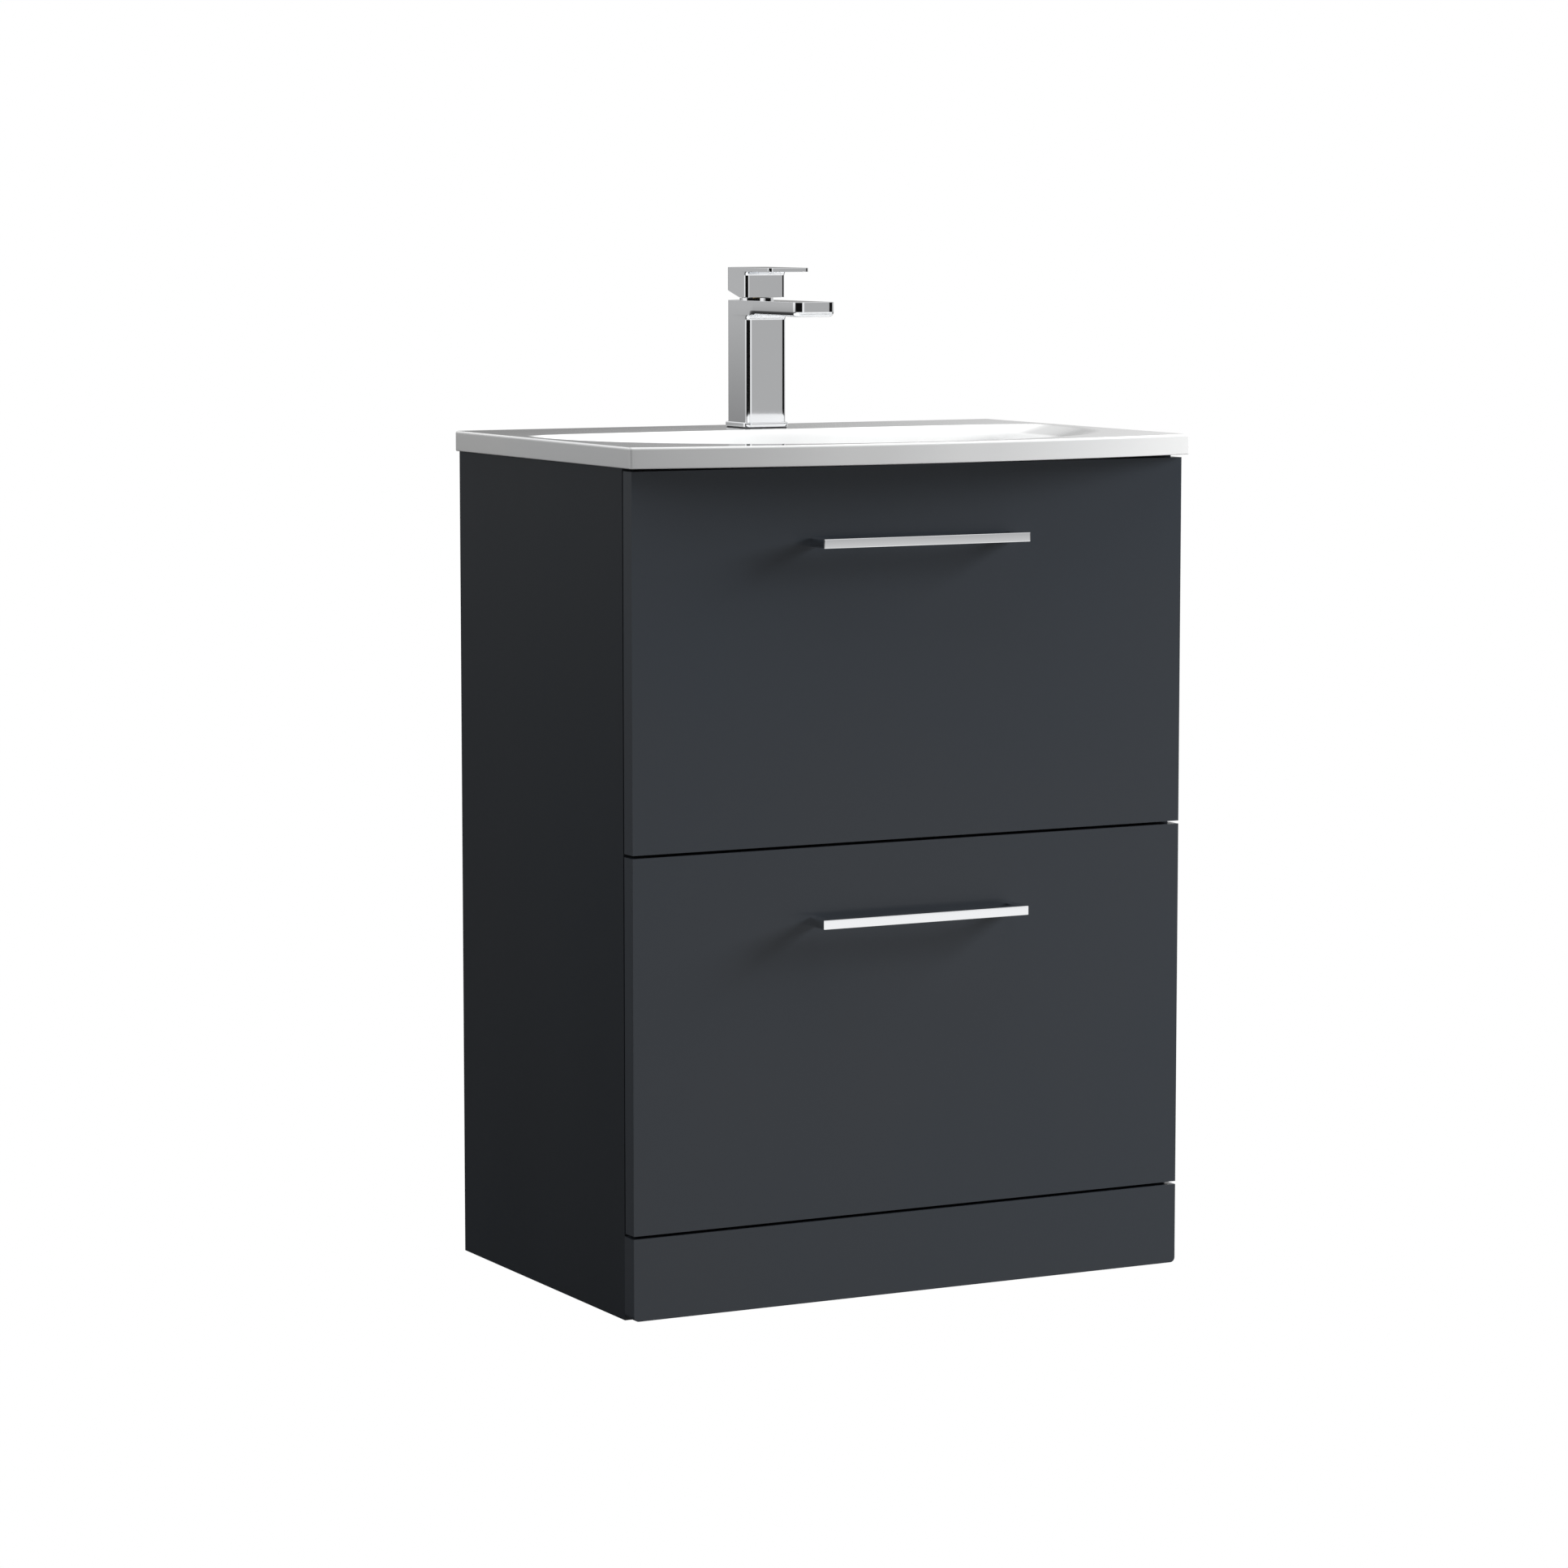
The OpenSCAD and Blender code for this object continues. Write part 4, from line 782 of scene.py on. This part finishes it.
OVERFLOW_Z = WELL_TOP - 24.0
OVERFLOW_R = 12.05
OVERFLOW_FRONT = WELL_REAR - 17.5         # the cutter's end inside the bowl
DUCT_HALF = 21.0
DUCT_EDGE = 1.5
DUCT_FRONT, DUCT_BACK = DECK_Y + 4.5, DECK_Y + 26.0
DUCT_INNER_BACK = DUCT_BACK - 6.5         # the cutter's end inside the duct
DUCT_TOP = SLAB_LOW + 4.0
DUCT_SHELF = WELL_FLOOR - 2.0             # top of the duct's run under the bowl


def slab_outline(inset):
    """The basin from above: straight sides and a bowed front."""
    r = max(SLAB_R - inset, SLAB_MIN_R)
    x, y = SLAB_HALF - inset - r, SLAB_BACK - inset - r
    radius = BOW_R - inset
    y_low = BOW_Y - math.sqrt((radius - r) ** 2 - x * x)
    lean = math.degrees(math.atan2(y_low - BOW_Y, x))
    return (arc(x, y, r, 0, 90, SLAB_N) + arc(-x, y, r, 90, 180, SLAB_N)
            + arc(-x, y_low, r, 180, 180 - lean, SLAB_N)
            + arc(0, BOW_Y, radius, -180 - lean, lean, BOW_N)[1:-1]
            + arc(x, y_low, r, lean, 0, SLAB_N))


def oval(half, front, rear, y_wide, n_front):
    """A dense oval with squarer corners at the back, as (x, y) points."""
    points = []
    for i in range(DENSE):
        a = math.tau * i / DENSE
        c, s = math.cos(a), math.sin(a)
        n = n_front if s < 0 else OVAL_REAR
        reach = y_wide - front if s < 0 else rear - y_wide
        points.append((half * math.copysign(abs(c) ** (2 / n), c),
                       y_wide + reach * math.copysign(abs(s) ** (2 / n), s)))
    return points


def by_bearing(points):
    """Points of an outline at even bearings from the bowl's eye."""
    ex, ey = BOWL_EYE
    polar = sorted((math.atan2(y - ey, x - ex) % math.tau, x, y) for x, y in points)
    polar = ([(polar[-1][0] - math.tau, *polar[-1][1:])] + polar
             + [(polar[0][0] + math.tau, *polar[0][1:])])
    out, k = [], 0
    for i in range(BOWL_N):
        bearing = bowl_bearing(i)
        while polar[k + 1][0] < bearing:
            k += 1
        (a0, x0, y0), (a1, x1, y1) = polar[k], polar[k + 1]
        t = (bearing - a0) / (a1 - a0)
        out.append((x0 + (x1 - x0) * t, y0 + (y1 - y0) * t))
    return out


def bowl_bearing(i):
    """Bearings crowd towards the corners at the back of the bowl."""
    a = math.tau * i / BOWL_N
    return a + CROWDING * math.sin(2 * a)


def well_outline(angle, grow=0.0):
    """The deep part at that angle down its curve; grow gives its outside."""
    k = 1 - WELL_TAPER * (1 - math.cos(math.radians(angle)))
    front = WASTE_Y - (WASTE_Y - WELL_FRONT) * k - grow
    rear = WASTE_Y + (WELL_REAR - WASTE_Y) * k + grow
    y_wide = WASTE_Y + (rear - WASTE_Y) * WELL_WIDE
    return oval(WELL_HALF * k + grow, front, rear, y_wide, OVAL_WELL)


def well_ring(angle, grow=0.0):
    z = WELL_TOP - (WELL_DROP + grow) * math.sin(math.radians(angle))
    return flat(by_bearing(well_outline(angle, grow)), z)


def outward(points):
    """Unit normals of a ring, away from the bowl."""
    normals = []
    for i, (x, y) in enumerate(points):
        ax, ay = points[i - 1]
        bx, by = points[(i + 1) % len(points)]
        length = math.hypot(bx - ax, by - ay)
        normals.append(((by - ay) / length, (ax - bx) / length))
    return normals


def bend(p, q, r, t):
    """A point on the curve that rounds the corner q between p and r."""
    return tuple((1 - t) ** 2 * a + 2 * t * (1 - t) * b + t * t * c
                 for a, b, c in zip(p, q, r))


def towards(p, q, reach, limit=0.45):
    """A point reach along the way from p to q, or limit of it at most."""
    share = min(reach / math.dist(p, q), limit)
    return tuple(a + (b - a) * share for a, b in zip(p, q))


def bowl_rings():
    """Rings from the flat top over the rounded rim to the bowl's bottom."""
    rim = by_bearing(oval(RIM_HALF, RIM_FRONT, DECK_Y, DECK_Y - RIM_WIDE, OVAL_RIM))
    lip = [(x + nx * RIM_ROUND, y + ny * RIM_ROUND, SLAB_TOP)
           for (x, y), (nx, ny) in zip(rim, outward(rim))]
    edge = flat(rim, SLAB_TOP)
    top, below = well_ring(0), well_ring(WELL_STEP)
    rings = []
    for t in shares(6):
        rings.append([bend(a, b, towards(b, c, RIM_REACH), t)
                      for a, b, c in zip(lip, edge, top)])
    for t in shares(8):
        rings.append([bend(towards(b, a, STEP_ROUND), b,
                           towards(b, c, STEP_ROUND, STEP_LIMIT), t)
                      for a, b, c in zip(edge, top, below)])
    for angle in range(WELL_STEP, 91, WELL_STEP):
        rings.append(well_ring(angle))
    return rings


def waste_rings():
    """Rings down through the waste hole and out under the boss."""
    seat = WELL_FLOOR - WASTE_SEAT
    levels = [(WASTE_SEAT_R, WELL_FLOOR), (WASTE_SEAT_R, seat), (WASTE_HOLE_R, seat),
              (WASTE_HOLE_R, BOSS_LOW), (BOSS_R - BOSS_EDGE, BOSS_LOW),
              (BOSS_R, BOSS_LOW + BOSS_EDGE), (BOSS_R, WELL_FLOOR - CERAMIC)]
    return [flat(by_bearing(circle(0, WASTE_Y, r, DENSE)), z) for r, z in levels]


def basin_shell():
    """The slab, the bowl's inside and its outside, as one closed skin."""
    bm = bmesh.new()
    slab = [add_ring(bm, flat(slab_outline(inset), SLAB_LOW + drop))
            for inset, drop in reversed(edge_steps(LOW_EDGE, 3))]
    slab += [add_ring(bm, flat(slab_outline(inset), SLAB_TOP - drop))
             for inset, drop in edge_steps(TOP_EDGE, 6)]
    skin(bm, slab)
    inner = [add_ring(bm, points) for points in bowl_rings() + waste_rings()]
    at_slab = math.degrees(math.asin((WELL_TOP - SLAB_LOW) / (WELL_DROP + CERAMIC)))
    outside = [at_slab] + list(range(15, 91, 15))
    inner += [add_ring(bm, well_ring(angle, CERAMIC)) for angle in reversed(outside)]
    skin(bm, inner)
    fill_between(bm, slab[-1], inner[0])
    fill_between(bm, slab[0], inner[-1])
    return finish_mesh(bm, "basin")


def duct_shell():
    """The overflow duct behind and under the bowl."""
    bm = bmesh.new()
    outline = [(WASTE_Y, BOSS_LOW), (DUCT_BACK, BOSS_LOW), (DUCT_BACK, DUCT_TOP),
               (DUCT_FRONT, DUCT_TOP), (DUCT_FRONT, DUCT_SHELF), (WASTE_Y, DUCT_SHELF)]
    rings = []
    for x, inset in ((-DUCT_HALF, DUCT_EDGE), (-DUCT_HALF + DUCT_EDGE, 0.0),
                     (DUCT_HALF - DUCT_EDGE, 0.0), (DUCT_HALF, DUCT_EDGE)):
        rings.append(add_ring(bm, [(x, y - inset if y >= DUCT_FRONT else y,
                                    z + inset if z == BOSS_LOW else z) for y, z in outline]))
    skin(bm, rings, True, True)
    return finish_mesh(bm, "duct")


def overflow_cutter():
    """A round bar through the bowl's back wall and into the duct."""
    bm = bmesh.new()
    rings = [add_ring(bm, [(x, y, z) for x, z in circle(0, OVERFLOW_Z, OVERFLOW_R, 48)])
             for y in (OVERFLOW_FRONT, DUCT_INNER_BACK)]
    skin(bm, rings, True, True)
    return finish_mesh(bm, "cutter")


def basin_mesh():
    """The shell and the duct in one mesh, both open at the overflow."""
    parts = [carve(basin_shell(), overflow_cutter()), carve(duct_shell(), overflow_cutter())]
    bm = bmesh.new()
    for part in parts:
        bm.from_mesh(part)
    data = bpy.data.meshes.new("basin")
    bm.to_mesh(data)
    bm.free()
    return data


def build_pieces(materials):
    pieces = [(tap_body_mesh(), "tap_chrome", "root", "tap_body", 30.0),
              (lever_mesh(), "tap_chrome", "tap_handle", "tap_lever", 30.0),
              (basin_mesh(), "basin_ceramic", "root", "basin", 40.0),
              (handle_mesh("upper_handle"), "handle_chrome", "upper_drawer", "upper_handle", 30.0),
              (handle_mesh("lower_handle"), "handle_chrome", "lower_drawer", "lower_handle", 30.0)]
    for data, slot, body, replaced, sharp in pieces:
        new_piece(data, slot, body, replaced, sharp, materials)


# Bevel widths in millimetres, and the CAD nodes that get them.
BEVELS = {0.9: ["upper_front", "lower_front", "plinth_front", "side_panel_left",
                "side_panel_right", "base_panel", "rear_rail_top", "rear_rail_low",
                "front_rail_top", "front_rail_mid"],
          0.7: ["upper_box_left", "upper_box_right", "upper_box_back", "upper_box_bottom",
                "lower_box_left", "lower_box_right", "lower_box_back", "lower_box_bottom",
                "upper_recess_liner", "plinth_blocks", "back_panel"],
          0.25: ["wall_brackets", "upper_runner_outer", "lower_runner_outer",
                 "upper_runner_mid", "lower_runner_mid", "upper_runner_inner",
                 "lower_runner_inner", "waste_nut", "waste_body", "waste_plug",
                 "tap_collar", "overflow_ring", "cam_locks", "tap_clamp", "tap_gasket"]}
BEVEL_ANGLE = 50.0                        # only edges that turn by more, in degrees


def soften_edges():
    for width, names in BEVELS.items():
        for name in names:
            bevel = NODES[name].modifiers.new("edge", "BEVEL")
            bevel.width = width * MM
            bevel.segments = 3
            bevel.limit_method = "ANGLE"
            bevel.angle_limit = math.radians(BEVEL_ANGLE)
            bevel.use_clamp_overlap = True
            bevel.harden_normals = True


# ---------------------------------------------------------------------------
# Stage and light
# ---------------------------------------------------------------------------
FLOOR_HALF = 14.0
FLOOR_GREY = 0.21
SOFT_STRENGTH = 0.21                      # of the light from all round
WHITE = (1.0, 1.0, 1.0)
MIDDLE = (0.0, 0.0, 0.45)
# Name, place, target, side in metres and power in watts.
LIGHTS = [("key", (3.95, -1.30, 2.10), MIDDLE, 1.6, 292.0),
          ("top", (0.0, -0.15, 3.2), (0.0, 0.0, 0.8), 1.8, 48.0),
          ("fill", (-2.2, -0.1, 1.25), MIDDLE, 0.8, 7.5)]


def make_floor():
    """A floor that lights the object from below and isn't seen itself."""
    data = bpy.data.meshes.new("floor")
    corners = [(-1, -1), (1, -1), (1, 1), (-1, 1)]
    data.from_pydata([(x * FLOOR_HALF, y * FLOOR_HALF, 0) for x, y in corners],
                     [], [(0, 1, 2, 3)])
    floor = bpy.data.objects.new("floor", data)
    bpy.context.scene.collection.objects.link(floor)
    material = bpy.data.materials.new("floor")
    material.use_nodes = True
    bsdf = material.node_tree.nodes["Principled BSDF"]
    bsdf.inputs["Base Color"].default_value = (FLOOR_GREY, FLOOR_GREY, FLOOR_GREY, 1.0)
    bsdf.inputs["Roughness"].default_value = 0.9
    bsdf.inputs["Specular IOR Level"].default_value = 0.0
    data.materials.append(material)
    floor.visible_glossy = False
    floor.visible_camera = False


def area_light(name, place, target, side, power):
    """A square light that doesn't show in reflections."""
    data = bpy.data.lights.new(name, "AREA")
    data.shape = "RECTANGLE"
    data.size = data.size_y = side
    data.energy = power
    light = bpy.data.objects.new(name, data)
    light.location = place
    aim = Vector(target) - Vector(place)
    light.rotation_euler = aim.to_track_quat("-Z", "Y").to_euler()
    light.visible_glossy = False
    bpy.context.scene.collection.objects.link(light)


def background(tree, strength, colour=WHITE):
    made = tree.nodes.new("ShaderNodeBackground")
    plug(tree, colour, made.inputs["Color"])
    made.inputs["Strength"].default_value = strength
    return made.outputs[0]


def either(tree, factor, one, two):
    """The shader one where factor is 0, and two where it is 1."""
    made = tree.nodes.new("ShaderNodeMixShader")
    for value, socket in zip((factor, one, two), made.inputs):
        tree.links.new(value, socket)
    return made.outputs[0]


def make_world():
    """White to the eye, a plain studio to reflections, soft to the rest."""
    world = bpy.data.worlds.new("studio")
    bpy.context.scene.world = world
    world.use_nodes = True
    tree = world.node_tree
    tree.nodes.clear()
    out = tree.nodes.new("ShaderNodeOutputWorld")
    ray = tree.nodes.new("ShaderNodeLightPath").outputs
    studio = background(tree, 1.0, studio_colours(tree))
    unseen = either(tree, ray["Is Glossy Ray"], background(tree, SOFT_STRENGTH), studio)
    seen = either(tree, ray["Is Camera Ray"], unseen, background(tree, 1.0))
    tree.links.new(seen, out.inputs[0])


# Brightness around the horizon, by heading: 0 is +X, 0.25 is +Y, 0.5 is -X
# and 0.75 is -Y.
HORIZON = [(0.00, 0.58), (0.10, 0.64), (0.14, 1.00), (0.15, 1.00), (0.178, 0.22),
           (0.21, 0.16), (0.29, 0.40), (0.32, 0.48), (0.36, 0.48), (0.375, 0.92),
           (0.475, 0.92), (0.487, 0.006), (0.735, 0.006), (0.745, 0.92), (0.805, 0.92),
           (0.814, 0.455), (0.842, 0.455), (0.850, 0.006), (0.985, 0.006),
           (0.995, 0.56), (1.00, 0.58)]
# How much darker the room is behind the cabinet, by the height of the ray.
BACK_LOW, BACK_HIGH = -0.25, 0.0
BACK_DIM = [(0.0, 0.10), (0.60, 0.30), (0.82, 0.55), (0.92, 1.0), (1.0, 1.0)]
BACK_BLUR = 0.05                          # where the front half meets the back
FLOOR_EDGE = (-0.05, -0.13)               # ray heights where the pale floor begins
CEILING_EDGE = (0.16, 0.36)               # and where the white ceiling does


def studio_colours(tree):
    """A grey room with one dark side, a white ceiling and a pale floor."""
    split = tree.nodes.new("ShaderNodeSeparateXYZ")
    tree.links.new(tree.nodes.new("ShaderNodeTexCoord").outputs["Generated"], split.inputs[0])
    x, y, z = (split.outputs[name] for name in "XYZ")
    turn = maths(tree, "ARCTAN2", y, x)
    lap = maths(tree, "FRACT", maths(tree, "MULTIPLY_ADD", turn, 0.5 / math.pi, 1.0))
    walls = grey_ramp(tree, HORIZON, lap)
    dim = grey_ramp(tree, BACK_DIM, ranged(tree, z, BACK_LOW, BACK_HIGH))
    back = ranged(tree, y, -BACK_BLUR, BACK_BLUR)
    front = ranged(tree, y, BACK_BLUR, -BACK_BLUR)
    room = mix_colour(tree, 1.0, walls, mix_colour(tree, back, WHITE, dim), "MULTIPLY")
    floor = maths(tree, "MULTIPLY", front, ranged(tree, z, *FLOOR_EDGE))
    room = mix_colour(tree, floor, room, WHITE)
    return mix_colour(tree, ranged(tree, z, *CEILING_EDGE), room, WHITE)


# ---------------------------------------------------------------------------
# Build
# ---------------------------------------------------------------------------
make_camera()
bpy.context.scene.view_settings.view_transform = "Standard"
make_world()
for light in LIGHTS:
    area_light(*light)
make_floor()

made_materials = {maker.__name__: maker() for maker in MAKERS}
dress_nodes(made_materials)
build_pieces(made_materials)
soften_edges()
